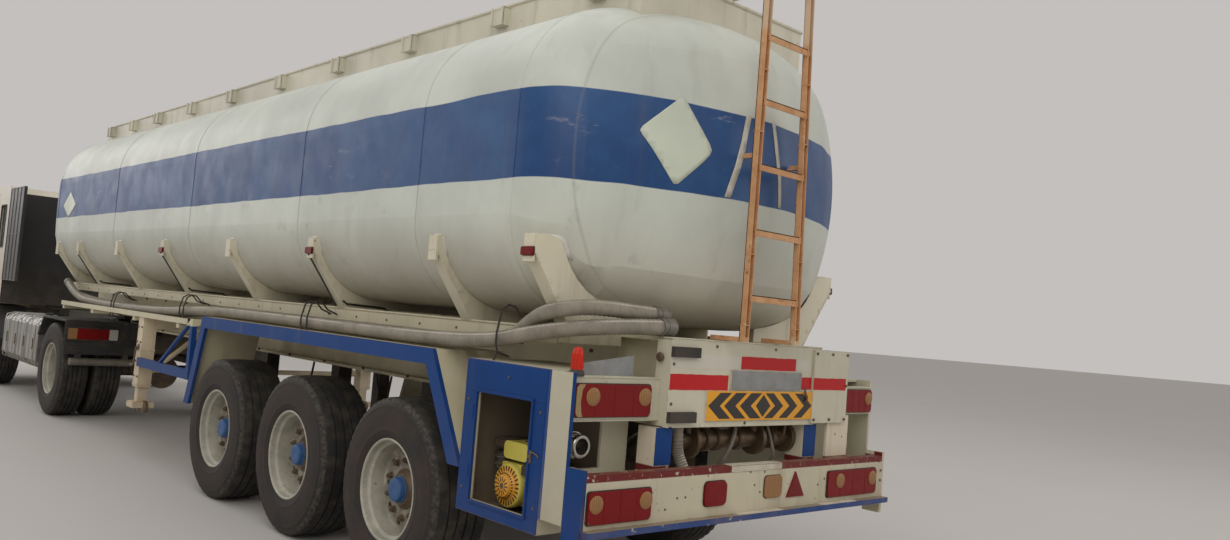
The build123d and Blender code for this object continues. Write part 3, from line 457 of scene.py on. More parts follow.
class Shape:
    """Closed shells in millimetres, with X from the bumper's rear face."""

    def __init__(self):
        self.v, self.f, self.m, self.w = [], [], [], []
        self.t = Matrix.Identity(4)

    def add(self, verts, faces, mat=0, wear=None):
        n = len(self.v)
        self.v += [self.t @ Vector(p) for p in verts]
        self.w += wear if wear else [0.5] * len(verts)
        self.f += [[i + n for i in q] for q in faces]
        self.m += [mat] * len(faces)

    def prism(self, axis, a0, a1, poly, mat=0):
        lift = {"x": lambda a, u, v: (a, u, v), "y": lambda a, u, v: (u, a, v), "z": lambda a, u, v: (u, v, a)}[axis]
        n = len(poly)
        vs = [lift(a0, *p) for p in poly] + [lift(a1, *p) for p in poly]
        fs = [[i, (i + 1) % n, n + (i + 1) % n, n + i] for i in range(n)]
        self.add(vs, fs + [list(range(n))[::-1], list(range(n, 2 * n))], mat)

    def box(self, x0, x1, y0, y1, z0, z1, mat=0):
        self.prism("x", x0, x1, [(y0, z0), (y1, z0), (y1, z1), (y0, z1)], mat)

    def slab(self, corners, t, mat=0):
        """Quad or polygon of 3-D corners thickened by the vector t."""
        t = Vector(t)
        n = len(corners)
        c = [Vector(p) for p in corners]
        self.add(c + [p + t for p in c],
                 [[i, (i + 1) % n, n + (i + 1) % n, n + i] for i in range(n)] + [list(range(n))[::-1], list(range(n, 2 * n))], mat)

    def lathe(self, origin, direction, profile, seg=48, mat=0, closed=False, radius=None, wear=None):
        """(along, radius) pairs turned about a line. An open profile starts and ends on the axis."""
        o = Vector(origin)
        d, u, w = axes(direction)
        prof = list(profile)
        if not closed:
            if prof[0][1] > 1e-6:
                prof.insert(0, (prof[0][0], 0.0))
            if prof[-1][1] > 1e-6:
                prof.append((prof[-1][0], 0.0))
        verts, rows, ws = [], [], []
        for i, (t, r) in enumerate(prof):
            if r <= 1e-6:
                rows.append([len(verts)] * seg)
                verts.append(o + d * t)
                ws.append(wear(t, r) if wear else 0.5)
                continue
            row = []
            for k in range(seg):
                a = 2 * pi * k / seg
                rr = radius(t, r, k) if radius else r
                row.append(len(verts))
                verts.append(o + d * t + (u * math.cos(a) + w * math.sin(a)) * rr)
                ws.append(wear(t, r) if wear else 0.5)
            rows.append(row)
        faces = []
        n = len(rows)
        for i in range(n if closed else n - 1):
            a_, b_ = rows[i], rows[(i + 1) % n]
            for k in range(seg):
                q = list(dict.fromkeys([a_[k], a_[(k + 1) % seg], b_[(k + 1) % seg], b_[k]]))
                if len(q) > 2:
                    faces.append(q)
        self.add(verts, faces, mat, ws)

    def rod(self, p, q, r, seg=16, mat=0, chamfer=0.0):
        p, q = Vector(p), Vector(q)
        ln = (q - p).length
        c = min(chamfer, ln / 2, r / 2)
        prof = [(0, r), (ln, r)] if not c else [(0, r - c), (c, r), (ln - c, r), (ln, r - c)]
        self.lathe(p, q - p, prof, seg, mat)

    def tube(self, pts, r, seg=10, mat=0, closed=False, radius=None, wear=None):
        pts = [Vector(p) for p in pts]
        n = len(pts)
        tans = []
        for i in range(n):
            a = pts[(i - 1) % n] if closed else pts[max(0, i - 1)]
            b = pts[(i + 1) % n] if closed else pts[min(n - 1, i + 1)]
            tans.append((b - a).normalized())
        _, u, _ = axes(tans[0])
        verts, rows = [], []
        for i in range(n):
            u = (u - tans[i] * u.dot(tans[i])).normalized()
            w = tans[i].cross(u)
            row = []
            for k in range(seg):
                a = 2 * pi * k / seg
                rr = radius(i, k) if radius else r
                row.append(len(verts))
                verts.append(pts[i] + (u * math.cos(a) + w * math.sin(a)) * rr)
            rows.append(row)
        faces = []
        for i in range(n if closed else n - 1):
            a_, b_ = rows[i], rows[(i + 1) % n]
            for k in range(seg):
                faces.append([a_[k], a_[(k + 1) % seg], b_[(k + 1) % seg], b_[k]])
        if not closed:
            faces += [rows[0][::-1], rows[-1]]
        self.add(verts, faces, mat)

    def nut(self, p, direction, r=16, h=14, mat=0, stud=0.0):
        d, u, w = axes(direction)
        p = Vector(p)
        ring = [(u * math.cos(pi * k / 3) + w * math.sin(pi * k / 3)) * r for k in range(6)]
        self.add([p + q for q in ring] + [p + q + d * h for q in ring],
                 [[i, (i + 1) % 6, 6 + (i + 1) % 6, 6 + i] for i in range(6)] + [[5, 4, 3, 2, 1, 0], list(range(6, 12))], mat)
        if stud:
            self.lathe(p, d, [(0, r * 0.5), (h + stud - 2, r * 0.5), (h + stud, r * 0.4)], 8, mat)

    def holed(self, origin, direction, r0, r1, n, rh, hole, face, thick, mat=0, seg=28, wear=None):
        """Ring from r0 to r1 with n round holes at radius rh. face(r) is its place along the axis."""
        o = Vector(origin)
        d, u, w = axes(direction)
        half = pi / n
        lim_a, lo, hi = half * rh, r0 - rh, r1 - rh
        angs = [2 * pi * k / seg for k in range(seg)]
        angs += [math.atan2(b, a) % (2 * pi) for a in (-lim_a, lim_a) for b in (lo, hi)]
        angs = sorted(set(round(a, 9) for a in angs))
        m = len(angs)
        for s in range(n):
            base = 2 * half * s
            verts, ws = [], []
            for back in (0, 1):
                for outer in (0, 1):
                    for a in angs:
                        ca, sa = math.cos(a), math.sin(a)
                        if outer:
                            k = min((lim_a / abs(ca)) if abs(ca) > 1e-9 else 1e9,
                                    ((hi if sa > 0 else -lo) / abs(sa)) if abs(sa) > 1e-9 else 1e9)
                        else:
                            k = hole
                        r = rh + sa * k
                        th = base + ca * k / rh
                        t = face(r) - (thick if back else 0)
                        verts.append(o + d * t + (u * math.cos(th) + w * math.sin(th)) * r)
                        ws.append(wear(t, r) if wear else 0.5)
            faces = []
            for i in range(m):
                j = (i + 1) % m
                faces.append([i, j, m + j, m + i])
                faces.append([2 * m + i, 3 * m + i, 3 * m + j, 2 * m + j])
                faces.append([i, 2 * m + i, 2 * m + j, j])
                faces.append([m + i, m + j, 3 * m + j, 3 * m + i])
            self.add(verts, faces, mat, ws)

    def make(self, name, body, mats, bevel=0.0, angle=35.0, replaces=(), segs=2):
        bm = bmesh.new()
        vs = [bm.verts.new(((p[0] + XS) / 1000, p[1] / 1000, p[2] / 1000)) for p in self.v]
        for q, m in zip(self.f, self.m):
            try:
                f = bm.faces.new([vs[i] for i in q])
                f.material_index = m
                f.smooth = True
            except ValueError:
                pass
        bmesh.ops.recalc_face_normals(bm, faces=bm.faces)
        me = bpy.data.meshes.new(name)
        bm.to_mesh(me)
        bm.free()
        at = me.attributes.new("wear", "FLOAT", "POINT")
        at.data.foreach_set("value", self.w)
        me.set_sharp_from_angle(angle=math.radians(angle))
        if isinstance(mats, str):
            mats = [mats]
        for m in mats:
            me.materials.append(M[m])
        ob = bpy.data.objects.new(name, me)
        bpy.context.scene.collection.objects.link(ob)
        if bevel:
            md = ob.modifiers.new("bevel", "BEVEL")
            md.width = bevel / 1000
            md.segments = segs
            md.limit_method = "ANGLE"
            md.angle_limit = math.radians(40)
            md.harden_normals = True
        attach(ob, body)
        if replaces:
            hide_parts(*replaces)
        return ob


def at(x, y, z, sign=1):
    """Local Y outward; sign -1 turns the piece half round for the right side."""
    m = Matrix.Translation((x, y * sign, z))
    return m if sign > 0 else m @ Matrix.Rotation(pi, 4, "Z")


def rrect(u0, u1, v0, v1, r, n=5, corners=(1, 1, 1, 1)):
    """Rounded rectangle outline, corners in the order (u0,v0), (u1,v0), (u1,v1), (u0,v1)."""
    out = []
    for (cu, cv, a0), on in zip(((u0, v0, pi), (u1, v0, 1.5 * pi), (u1, v1, 0), (u0, v1, 0.5 * pi)), corners):
        if not on:
            out.append((cu, cv))
            continue
        x = cu + (r if cu == u0 else -r)
        y = cv + (r if cv == v0 else -r)
        for k in range(n + 1):
            a = a0 + 0.5 * pi * k / n
            out.append((x + r * math.cos(a), y + r * math.sin(a)))
    return out


def dress(node, mat, bevel=0.0):
    ob = NODES[node]
    for s in ob.material_slots:
        s.material = M[mat]
    if not ob.material_slots:
        ob.data.materials.append(M[mat])
    return ob


for node, mat in {
        "tank": "tank", "tank_saddles": "saddle", "coaming": "coaming", "manhole_collars": "coaming", "ladder": "ladder",
        "trailer_frame": "frame", "landing_gear": "leg", "side_guards": "sideguard", "wheel_guards": "guard",
        "hose_tray": "cream", "rear_cabinets": "cabinet", "petrol_pump": "yellow", "rear_pipes": "grey",
        "tail_board": "board", "rubber_buffers": "rubber", "trailer_bumper": "bumper", "trailer_lamps": "red",
        "trailer_axles": "dark", "trailer_springs": "dark", "hoses": "hose", "tractor_frame": "dark",
        "fifth_wheel": "dark", "engine": "grey", "front_axle": "dark", "drive_axle": "dark",
        "tractor_mudguards": "plastic", "fuel_tank": "alu", "battery_box": "plastic", "air_tank": "grey",
        "front_bumper": "cab", "tractor_lamps": "red", "cab_shell": "cab", "cab_glass": "glass",
        "cab_interior": "trim", "mirrors": "plastic", "side_fairings": "fairing", "door_left": "cab",
        "door_right": "cab", "door_glass_left": "glass", "door_glass_right": "glass", "steering_wheel": "plastic",
        "knuckle_left": "dark", "knuckle_right": "dark", "front_wheel_left": "tyre", "front_wheel_right": "tyre",
        "drive_wheels_left": "tyre", "drive_wheels_right": "tyre", "manhole_lid_rear": "alu",
        "manhole_lid_middle": "alu", "manhole_lid_front": "alu", "cabinet_door_right": "cabinet",
        "trailer_wheel_left_1": "tyre", "trailer_wheel_left_2": "tyre", "trailer_wheel_left_3": "tyre",
        "trailer_wheel_right_1": "tyre", "trailer_wheel_right_2": "tyre", "trailer_wheel_right_3": "tyre"}.items():
    dress(node, mat)


def tree_of(node):
    bm = bmesh.new()
    bm.from_mesh(NODES[node].data)
    t = BVHTree.FromBMesh(bm)
    return t, bm


# ------------------------------------------------------------------ wheels
def tyre_shape(s, R, h, b, seg=168):
    side = [(h - 30, b), (h - 22, b + 8), (h - 17, b + 12), (h - 10, b + 38), (h - 5, b + 52), (h - 3, b + 56),
            (h - 4, b + 60), (h - 1, b + 88), (h, b + 122), (h - 2, R - 84), (h - 6, R - 62), (h - 5, R - 57),
            (h - 9, R - 50), (h - 16, R - 34), (h - 22, R - 20), (h - 32, R - 8), (h - 44, R - 4)]
    tread = []
    edge = h - 44
    crown = lambda t: R - 4.0 * (t / edge) ** 2
    grooves = [edge * k for k in (0.62, 0.2, -0.2, -0.62)]
    for g in grooves:
        tread += [(g + 7, crown(g + 7)), (g + 4.5, crown(g) - 12), (g - 4.5, crown(g) - 12), (g - 7, crown(g - 7))]
    prof = side + tread + [(-t, r) for t, r in reversed(side)]

    def radius(t, r, k):
        if h - 46 < abs(t) < h - 20 and k % 3 == 0:
            return r - 7
        return r

    def wear(t, r):
        if abs(t) < h - 43:
            return 1.1
        return (r - b) / (R - b)
    s.lathe((0, 0, 0), (0, 1, 0), prof, seg, 0, closed=True, radius=radius, wear=wear)


def rim_shape(s, h, b, seat, deep):
    """Barrel from lip to lip. seat, where the disc joins, is not used; deep is the drop inside the outer lip."""
    e = h - 19
    out = [(e + 0, b + 12), (e + 4, b + 9), (e + 4, b + 2), (e - 3, b - 5), (e - 34, b - 9), (e - 42, b - 16),
           (e - 48, b - 24), (e - deep, b - 30)]
    inn = [(-e + 60, b - 30), (-e + 40, b - 12), (-e + 3, b - 5), (-e - 4, b + 2), (-e - 4, b + 9), (-e, b + 12)]
    back = [(-e + 6, b + 3), (-e + 40, b - 4), (-e + 60, b - 21), (e - deep, b - 21), (e - 44, b - 15),
            (e - 30, b - 1), (e - 5, b + 3)]

    def wear(t, r):
        return max(0.0, min(1.0, (t + h) / (2 * h)))
    s.lathe((0, 0, 0), (0, 1, 0), out + inn + back, 96, 0, closed=True, wear=wear)


def trailer_wheel(label, x, sign):
    body = "trailer_wheel_" + label
    T = at(x, 1057.5, 536, sign)
    s = Shape(); s.t = T
    tyre_shape(s, 536, 192.5, 286)
    s.make(body + "_tyre", body, "tyre", replaces=(body,), angle=50)
    s = Shape(); s.t = T
    rim_shape(s, 192.5, 286, 46, 100)
    face = lambda r: 40 + (0 if r < 190 else -6 * math.sin(pi * (r - 190) / 66))
    wear = lambda t, r: 0.15 + 0.2 * (r - 95) / 160
    s.lathe((0, 0, 0), (0, 1, 0), [(44, 258), (38, 244), (24, 244), (24, 258)], 96, 0, closed=True, wear=wear)
    s.holed((0, 0, 0), (0, 1, 0), 184, 246, 10, 215, 21, face, 13, 0, wear=wear)
    s.lathe((0, 0, 0), (0, 1, 0), [(41, 186), (45, 176), (49, 160), (49, 96), (30, 96), (30, 186)], 96, 0, closed=True, wear=wear)
    # valve stem
    s.tube([(0, 44, 236), (0, 60, 240), (0, 84, 246)], 4, 8)
    s.make(body + "_rim", body, "wheel", angle=30)
    s = Shape(); s.t = T
    s.lathe((0, 0, 0), (0, 1, 0), [(-198, 203), (-190, 208), (-176, 208), (-172, 203), (-60, 203), (-48, 190), (-30, 150),
                                   (30, 140), (30, 96), (-198, 96)], 64, 0, closed=True)
    for k in range(10):
        a = 2 * pi * (k + 0.5) / 10
        p = (167.5 * math.cos(a), 49, 167.5 * math.sin(a))
        s.lathe(p, (0, 1, 0), [(0, 22), (4, 22), (6, 18)], 16, 0)
        s.nut((p[0], 54, p[2]), (0, 1, 0), 18, 20, 0, 12)
    s.lathe((0, 0, 0), (0, 1, 0), [(20, 118), (54, 118), (60, 112), (74, 96), (84, 92), (84, 0)], 48, 0)
    for k in range(6):
        a = 2 * pi * k / 6
        s.nut((84 * math.cos(a), 83, 84 * math.sin(a)), (0, 1, 0), 7, 5, 0)
    s.make(body + "_hub", body, "bolt", bevel=1.2)
    s = Shape(); s.t = T
    s.lathe((0, 0, 0), (0, 1, 0), [(80, 78), (90, 78), (92, 74), (92, 71), (116, 69), (122, 66), (125, 60), (125.5, 24),
                                   (124, 20), (124, 0)], 48, 0)
    for k in range(8):
        a = 2 * pi * (k + 0.3) / 8
        s.nut((74 * math.cos(a), 89, 74 * math.sin(a)), (0, 1, 0), 5, 4, 0)
    s.make(body + "_cap", body, "hubblue", bevel=1.0)


for i, x in enumerate((1700, 3010, 4320)):
    trailer_wheel("left_%d" % (i + 1), x, 1)
    trailer_wheel("right_%d" % (i + 1), x, -1)


def drive_pair(label, sign):
    body = "drive_wheels_" + label
    gap = 350
    for part, dy in (("outer", 0), ("inner", -gap)):
        s = Shape(); s.t = at(9450, 1080 + dy, 538, sign)
        tyre_shape(s, 538, 156, 286)
        s.make("%s_tyre_%s" % (body, part), body, "tyre", replaces=(body,) if part == "outer" else (), angle=50)
    T = at(9450, 1080, 538, sign)
    s = Shape(); s.t = T
    rim_shape(s, 156, 286, 0, 110)
    s.t = T @ Matrix.Translation((0, -gap, 0)) @ Matrix.Rotation(pi, 4, "Z")
    rim_shape(s, 156, 286, 0, 110)
    s.t = T
    wear = lambda t, r: 0.3 + 0.3 * (r - 95) / 160
    for side in (1, -1):
        c = -gap / 2
        f = (lambda r, c=c, side=side: c + side * (11 + (0 if r < 190 else 12 * (r - 190) / 66)))
        s.lathe((0, 0, 0), (0, 1, 0), [(c + side * 26, 264), (c + side * 22, 244), (c + side * 8, 244), (c + side * 10, 264)], 96, 0, closed=True, wear=wear)
        s.holed((0, 0, 0), (0, 1, 0), 184, 246, 8, 215, 24, f, side * 12, 0, wear=wear)
        s.lathe((0, 0, 0), (0, 1, 0), [(c + side * 11, 186), (c + side * 11, 100), (c + side * 1, 100), (c + side * 1, 186)], 96, 0, closed=True, wear=wear)
        # barrel skirt out to the disc
        s.lathe((0, 0, 0), (0, 1, 0), [(c + side * 8, 264), (c + side * 8, 256), (c + side * 150, 256), (c + side * 150, 264)], 96, 0, closed=True, wear=wear)
    s.make(body + "_rims", body, "wheel", angle=30)
    s = Shape(); s.t = T
    s.lathe((0, 0, 0), (0, 1, 0), [(-165, 150), (-150, 150), (-140, 132), (-20, 128), (-14, 122), (28, 118), (40, 108), (52, 104), (58, 96), (60, 0)], 64, 0)
    for k in range(10):
        a = 2 * pi * (k + 0.5) / 10
        p = (167.5 * math.cos(a), -164, 167.5 * math.sin(a))
        s.nut(p, (0, 1, 0), 18, 22, 0, 14)
        a += 0.2
        s.nut((112 * math.cos(a), 44 - 8, 112 * math.sin(a)), (0, 1, 0), 9, 10, 0)
    s.lathe((0, 0, 0), (0, 1, 0), [(-500, 196), (-490, 206), (-380, 206), (-362, 190), (-362, 60), (-500, 60)], 64, 0, closed=True)
    s.make(body + "_hub", body, "bolt", bevel=1.5)


def front_wheel(label, sign):
    body = "front_wheel_" + label
    T = at(13050, 1030, 538, sign)
    s = Shape(); s.t = T
    tyre_shape(s, 538, 156, 286)
    s.make(body + "_tyre", body, "tyre", replaces=(body,), angle=50)
    s = Shape(); s.t = T
    rim_shape(s, 156, 286, 0, 60)
    wear = lambda t, r: 0.4 + 0.4 * (r - 95) / 160
    face = lambda r: 112 - (0 if r < 184 else 22 * (r - 184) / 62)
    s.lathe((0, 0, 0), (0, 1, 0), [(92, 262), (90, 244), (78, 244), (78, 262)], 96, 0, closed=True, wear=wear)
    s.holed((0, 0, 0), (0, 1, 0), 184, 246, 10, 215, 23, face, 12, 0, wear=wear)
    s.lathe((0, 0, 0), (0, 1, 0), [(112, 186), (118, 176), (120, 160), (120, 100), (106, 100), (100, 186)], 96, 0, closed=True, wear=wear)
    s.make(body + "_rim", body, "wheel", angle=30)
    s = Shape(); s.t = T
    s.lathe((0, 0, 0), (0, 1, 0), [(-30, 130), (100, 120), (112, 118), (126, 98), (134, 92), (140, 86), (142, 60), (146, 54), (147, 0)], 64, 0)
    for k in range(10):
        a = 2 * pi * (k + 0.5) / 10
        s.nut((167.5 * math.cos(a), 119, 167.5 * math.sin(a)), (0, 1, 0), 17, 18, 0, 10)
        s.nut((104 * math.cos(a), 118, 104 * math.sin(a)), (0, 1, 0), 7, 7, 0)
    s.make(body + "_hub", body, "bolt", bevel=1.2)


for label, sign in (("left", 1), ("right", -1)):
    drive_pair(label, sign)
    front_wheel(label, sign)

# ------------------------------------------------------------------ tank: weld beads, blank signs, white strips
tank_tree, tank_bm = tree_of("tank")


def seam(x, r=5.0):
    """Points of the tank's outline at that X, a little proud."""
    bm = tank_bm.copy()
    cut = bmesh.ops.bisect_plane(bm, geom=bm.verts[:] + bm.edges[:] + bm.faces[:], dist=1e-6,
                                 plane_co=((x + XS) / 1000, 0, 0), plane_no=(1, 0, 0))["geom_cut"]
    pts = [v.co.copy() for v in cut if isinstance(v, bmesh.types.BMVert)]
    bm.free()
    c = Vector((pts[0].x, 0, 2.45))
    pts.sort(key=lambda p: math.atan2(p.z - c.z, p.y))
    out = []
    for p in pts:
        if not out or (p - out[-1]).length > 0.02:
            out.append(p)
    return [(p.x * 1000 - XS, p.y * 1000, p.z * 1000) for p in out]


s = Shape()
for x in (7450, 5300, 3190, 1640, 730, 9720):
    s.tube(seam(x), 3.2, 6, closed=True)
s.make("tank_weld_beads", "trailer", "tank", angle=70)


def stick(name, outline, direction, mat, body="trailer", tree=None, thick=2.0, step=40.0, lift=1.0, far=None):
    """A thin sheet stuck on the tank: outline of (u, v) mm across the direction, cast onto the surface.
    direction '+x' looks along +X onto the rear end (u = Y), '-y' looks along -Y onto the left side (u = X)."""
    tree = tree or tank_tree
    us = [p[0] for p in outline]
    vs = [p[1] for p in outline]
    bm = bmesh.new()
    f = bm.faces.new([bm.verts.new((u, v, 0)) for u, v in outline])
    geom = bm.faces[:]
    for lo, hi, ax in ((min(us), max(us), 0), (min(vs), max(vs), 1)):
        k = max(1, int((hi - lo) / step))
        for i in range(1, k):
            co, no = [0, 0, 0], [0, 0, 0]
            co[ax] = lo + (hi - lo) * i / k
            no[ax] = 1
            bmesh.ops.bisect_plane(bm, geom=bm.verts[:] + bm.edges[:] + bm.faces[:], dist=1e-4, plane_co=co, plane_no=no)
    for v in bm.verts:
        u, w = v.co.x, v.co.y
        if direction == "+x":
            o, d = Vector((-9.0, u / 1000, w / 1000)), Vector((1, 0, 0))
        elif direction == "-y":
            o, d = Vector(((u + XS) / 1000, 3.0, w / 1000)), Vector((0, -1, 0))
        else:
            o, d = Vector(((u + XS) / 1000, -3.0, w / 1000)), Vector((0, 1, 0))
        hit, no, _, _ = tree.ray_cast(o, d)
        if hit is None:
            hit, no = o + d * 2, -d
        if no.dot(d) > 0:
            no = -no
        v.co = hit + no * (lift / 1000)
    me = bpy.data.meshes.new(name)
    bm.normal_update()
    if bm.faces and sum((fc.normal for fc in bm.faces), Vector()).dot({"+x": Vector((-1, 0, 0)), "-y": Vector((0, 1, 0))}.get(direction, Vector((0, -1, 0)))) < 0:
        bmesh.ops.reverse_faces(bm, faces=bm.faces)
    for fc in bm.faces:
        fc.smooth = True
    bm.to_mesh(me)
    bm.free()
    me.materials.append(M[mat])
    ob = bpy.data.objects.new(name, me)
    bpy.context.scene.collection.objects.link(ob)
    md = ob.modifiers.new("thick", "SOLIDIFY")
    md.thickness = thick / 1000
    md.offset = 1.0
    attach(ob, body)
    return ob


# the rear diamond with its clipped side corners, and the one at the front left
stick("sign_rear", [(612, 2792), (590, 2788), (442, 2566), (430, 2538), (440, 2512), (606, 2336), (628, 2334), (808, 2556), (822, 2582), (810, 2606)][::-1],
      "+x", "sign", lift=1.5)
stick("sign_front_left", [(9245, 2590), (8980, 2440), (9245, 2290), (9510, 2440)], "-y", "sign", lift=1.5)

stick("strip_rear_1", [(190, 2772), (150, 2772), (276, 2310), (318, 2310)], "+x", "tape_white", lift=1.2, thick=1.0)
stick("strip_rear_2", [(-12, 2772), (-44, 2772), (-140, 2310), (-112, 2310)], "+x", "tape_white", lift=1.2, thick=1.0)

# doubler plates on the tank over each saddle, and the saddles' caps
SADDLES = (480.0, 1350.0, 2870.0, 4300.0, 5830.0, 7180.0, 8600.0, 9480.0)
for i, x in enumerate(SADDLES):
    for sgn, d in ((1, "-y"), (-1, "+y")):
        stick("doubler_%s_%d" % ("left" if sgn > 0 else "right", i + 1),
              rrect(x - 12, x + 104, 1900, 2020, 40, 5, (0, 0, 1, 1)), d, "tank_clean", lift=0.3, thick=3.0)
s = Shape()
for x in SADDLES:
    for sgn in (1, -1):
        s.box(x + 4, x + 86, sgn * 1246, sgn * 1260, 1868, 2002)
        s.slab([(x - 3, sgn * 985, 1550), (x - 3, sgn * 1257, 1930), (x + 93, sgn * 1257, 1930), (x + 93, sgn * 985, 1550)],
               (0, sgn * 5.5, -4))
        for k in (0.2, 0.5, 0.8):
            s.lathe((x - 1, sgn * (985 + 200 * k), 1600 + 230 * k), (-1, 0, 0), [(0, 13), (3, 13), (3, 7)], 14)
s.make("saddle_caps", "trailer", "saddle", bevel=3)

# ------------------------------------------------------------------ coaming, deck and lids
s = Shape()
BOXES_X = (790.0, 1700.0, 2780.0, 3860.0, 4920.0, 6010.0, 7070.0, 8100.0, 8980.0, 9840.0)
for x in BOXES_X:
    for sgn in (1, -1):
        for dx in (-60, 46):
            s.box(x + dx, x + dx + 14, sgn * 744, sgn * 762, 3386, 3504)
        s.box(x - 46, x + 46, sgn * 744, sgn * 753, 3488, 3502)
        s.box(x - 66, x + 66, sgn * 699, sgn * 748, 3500, 3506)
s.make("coaming_box_ribs", "trailer", "coaming", bevel=2)
s = Shape()
# rolled top lip of the coaming and weld beads along its foot
for a, b in (((450, 700), (10050, 700)), ((10050, 700), (10050, -700)), ((10050, -700), (450, -700)), ((450, -700), (450, 700))):
    s.rod((a[0], a[1], 3518), (b[0], b[1], 3518), 12, 10)
# raised ribs of the tread plate on the deck
for i in range(62):
    x = 560 + i * 150
    if any(abs(x - m) < 420 for m in (2000, 5200, 8400)):
        for y in (-560, 560):
            s.box(x, x + 46, y - 34, y + 34, 3399, 3402)
        continue
    for j in range(9):
        y = -600 + j * 150 + (75 if i % 2 else 0)
        if y < 650:
            s.box(x, x + 46, y - 8, y + 8, 3399, 3402.5)
s.make("coaming_lip", "trailer", "coaming", bevel=0)
s = Shape()
for y in (470, -470):
    s.tube([(640, y, 3412), (1500, y, 3413), (5000, y, 3412), (9000, y, 3413), (9860, y, 3412)], 13, 10)
for x in (900, 2600, 3600, 4600, 5900, 7000, 8100, 9500):
    for y in (470, -470):
        s.box(x - 20, x + 20, y - 22, y + 22, 3399, 3428)
for x in (1250, 3300, 6400, 9300):
    s.lathe((x, -260, 3399), (0, 0, 1), [(0, 70), (8, 70), (8, 46), (60, 46), (66, 62), (84, 62), (92, 50), (96, 0)], 32)
    for k in range(8):
        a = 2 * pi * k / 8
        s.nut((x + 59 * math.cos(a), -260 + 59 * math.sin(a), 3407), (0, 0, 1), 7, 7)
s.make("vapour_pipes", "trailer", "grey", bevel=1.5)


def manhole(label, x):
    body = "manhole_lid_" + label
    s = Shape()
    s.lathe((x, 0, 3457), (0, 0, 1), [(0, 284), (4, 289), (14, 289), (18, 284), (18, 262), (10, 252), (10, 214), (20, 204),
                                      (24, 176), (24, 0)], 72)
    # hinge arms, handle, vent, clamps and bolts
    for sgn in (1, -1):
        s.prism("y", sgn * 28, sgn * 44, [(x - 338, 3466), (x - 325, 3484), (x - 120, 3487), (x - 120, 3479), (x - 280, 3474), (x - 312, 3462)])
    s.tube([(x + 190, -70, 3475), (x + 190, -70, 3484), (x + 190, 70, 3484), (x + 190, 70, 3475)], 6, 8)
    s.lathe((x - 40, 110, 3478), (0, 0, 1), [(0, 44), (5, 44), (5, 34), (8, 30), (9, 0)], 28)
    s.lathe((x + 60, -110, 3478), (0, 0, 1), [(0, 30), (7, 28), (9, 0)], 24)
    for k in range(12):
        a = 2 * pi * (k + 0.5) / 12
        s.nut((x + 272 * math.cos(a), 272 * math.sin(a), 3474), (0, 0, 1), 9, 9, 0, 3)
    s.make(body + "_detail", body, "alu", bevel=1.5, replaces=(body,))
    s = Shape()
    s.lathe((x, 0, 3385), (0, 0, 1), [(0, 296), (10, 298), (12, 292), (56, 292), (62, 298), (66, 298), (66, 270), (0, 270)], 72, 0, closed=True)
    for k in range(8):
        a = 2 * pi * (k + 0.25) / 8
        s.t = Matrix.Translation((x, 0, 0)) @ Matrix.Rotation(a, 4, "Z")
        s.box(290, 312, -14, 14, 3402, 3446)
    s.t = Matrix.Identity(4)
    s.make("manhole_ring_" + label, "trailer", "alu", bevel=1.5)


for label, x in (("rear", 2000), ("middle", 5200), ("front", 8400)):
    manhole(label, x)

# ------------------------------------------------------------------ ladder
s = Shape()
LT = 38.0


def rail_y(base, tilt, z):
    return base + tilt * (z - 1555) / 2045.0


for base, tilt in ((235.0, 0.0), (-200.0, 80.0)):
    y0, y1 = base, base + tilt
    for dx0, dx1, dy0, dy1 in ((-50, -12, -19, -13), (-18, -12, -19, 19), (-50, -12, 13, 19)):
        s.add([(dx0, y0 + dy0, 1556), (dx1, y0 + dy0, 1556), (dx1, y0 + dy1, 1556), (dx0, y0 + dy1, 1556),
               (dx0, y1 + dy0, 3598), (dx1, y1 + dy0, 3598), (dx1, y1 + dy1, 3598), (dx0, y1 + dy1, 3598)],
              [[3, 2, 1, 0], [4, 5, 6, 7], [0, 1, 5, 4], [1, 2, 6, 5], [2, 3, 7, 6], [3, 0, 4, 7]])
    s.box(-48, 186, y0 - 18, y0 + 18, 1556, 1580)
    s.tube([(-30, y1, 3560), (-26, y1, 3576), (-10, y1, 3584), (560, y1, 3584), (588, y1, 3578), (600, y1, 3560), (601, y1, 3402)], 15, 14)
    s.box(575, 627, y1 - 26, y1 + 26, 3399, 3407)
    zz = 2540
    yy = rail_y(base, tilt, zz)
    s.box(-20, 66, yy - 12, yy + 12, 2526, 2532)
    s.box(-20, 66, yy - 12, yy - 6, 2526, 2554)
for i in range(6):
    z = 1785 + 346 * i
    ya, yb = rail_y(235, 0, z) - 8, rail_y(-200, 80, z) + 8
    s.box(-47, -17, yb, ya, z + 12, z + 18)
    s.box(-47, -41, yb, ya, z - 18, z + 18)
    for y in (ya, yb):
        for k in range(5):
            s.lathe((-48, y + (k - 2) * 1.5, z - 14 + 7 * k), (-1, 0, 0), [(0, 5), (1.5, 4), (2.2, 0)], 8)
for z in (1640, 2010, 2660, 2990):
    for base, tilt in ((235.0, 0.0), (-200.0, 80.0)):
        y = rail_y(base, tilt, z)
        s.box(-51.5, -10.5, y - 20.5, y + 20.5, z, z + 5)
s.make("ladder_angles", "trailer", "ladder", bevel=1.2, replaces=("ladder",), angle=40)

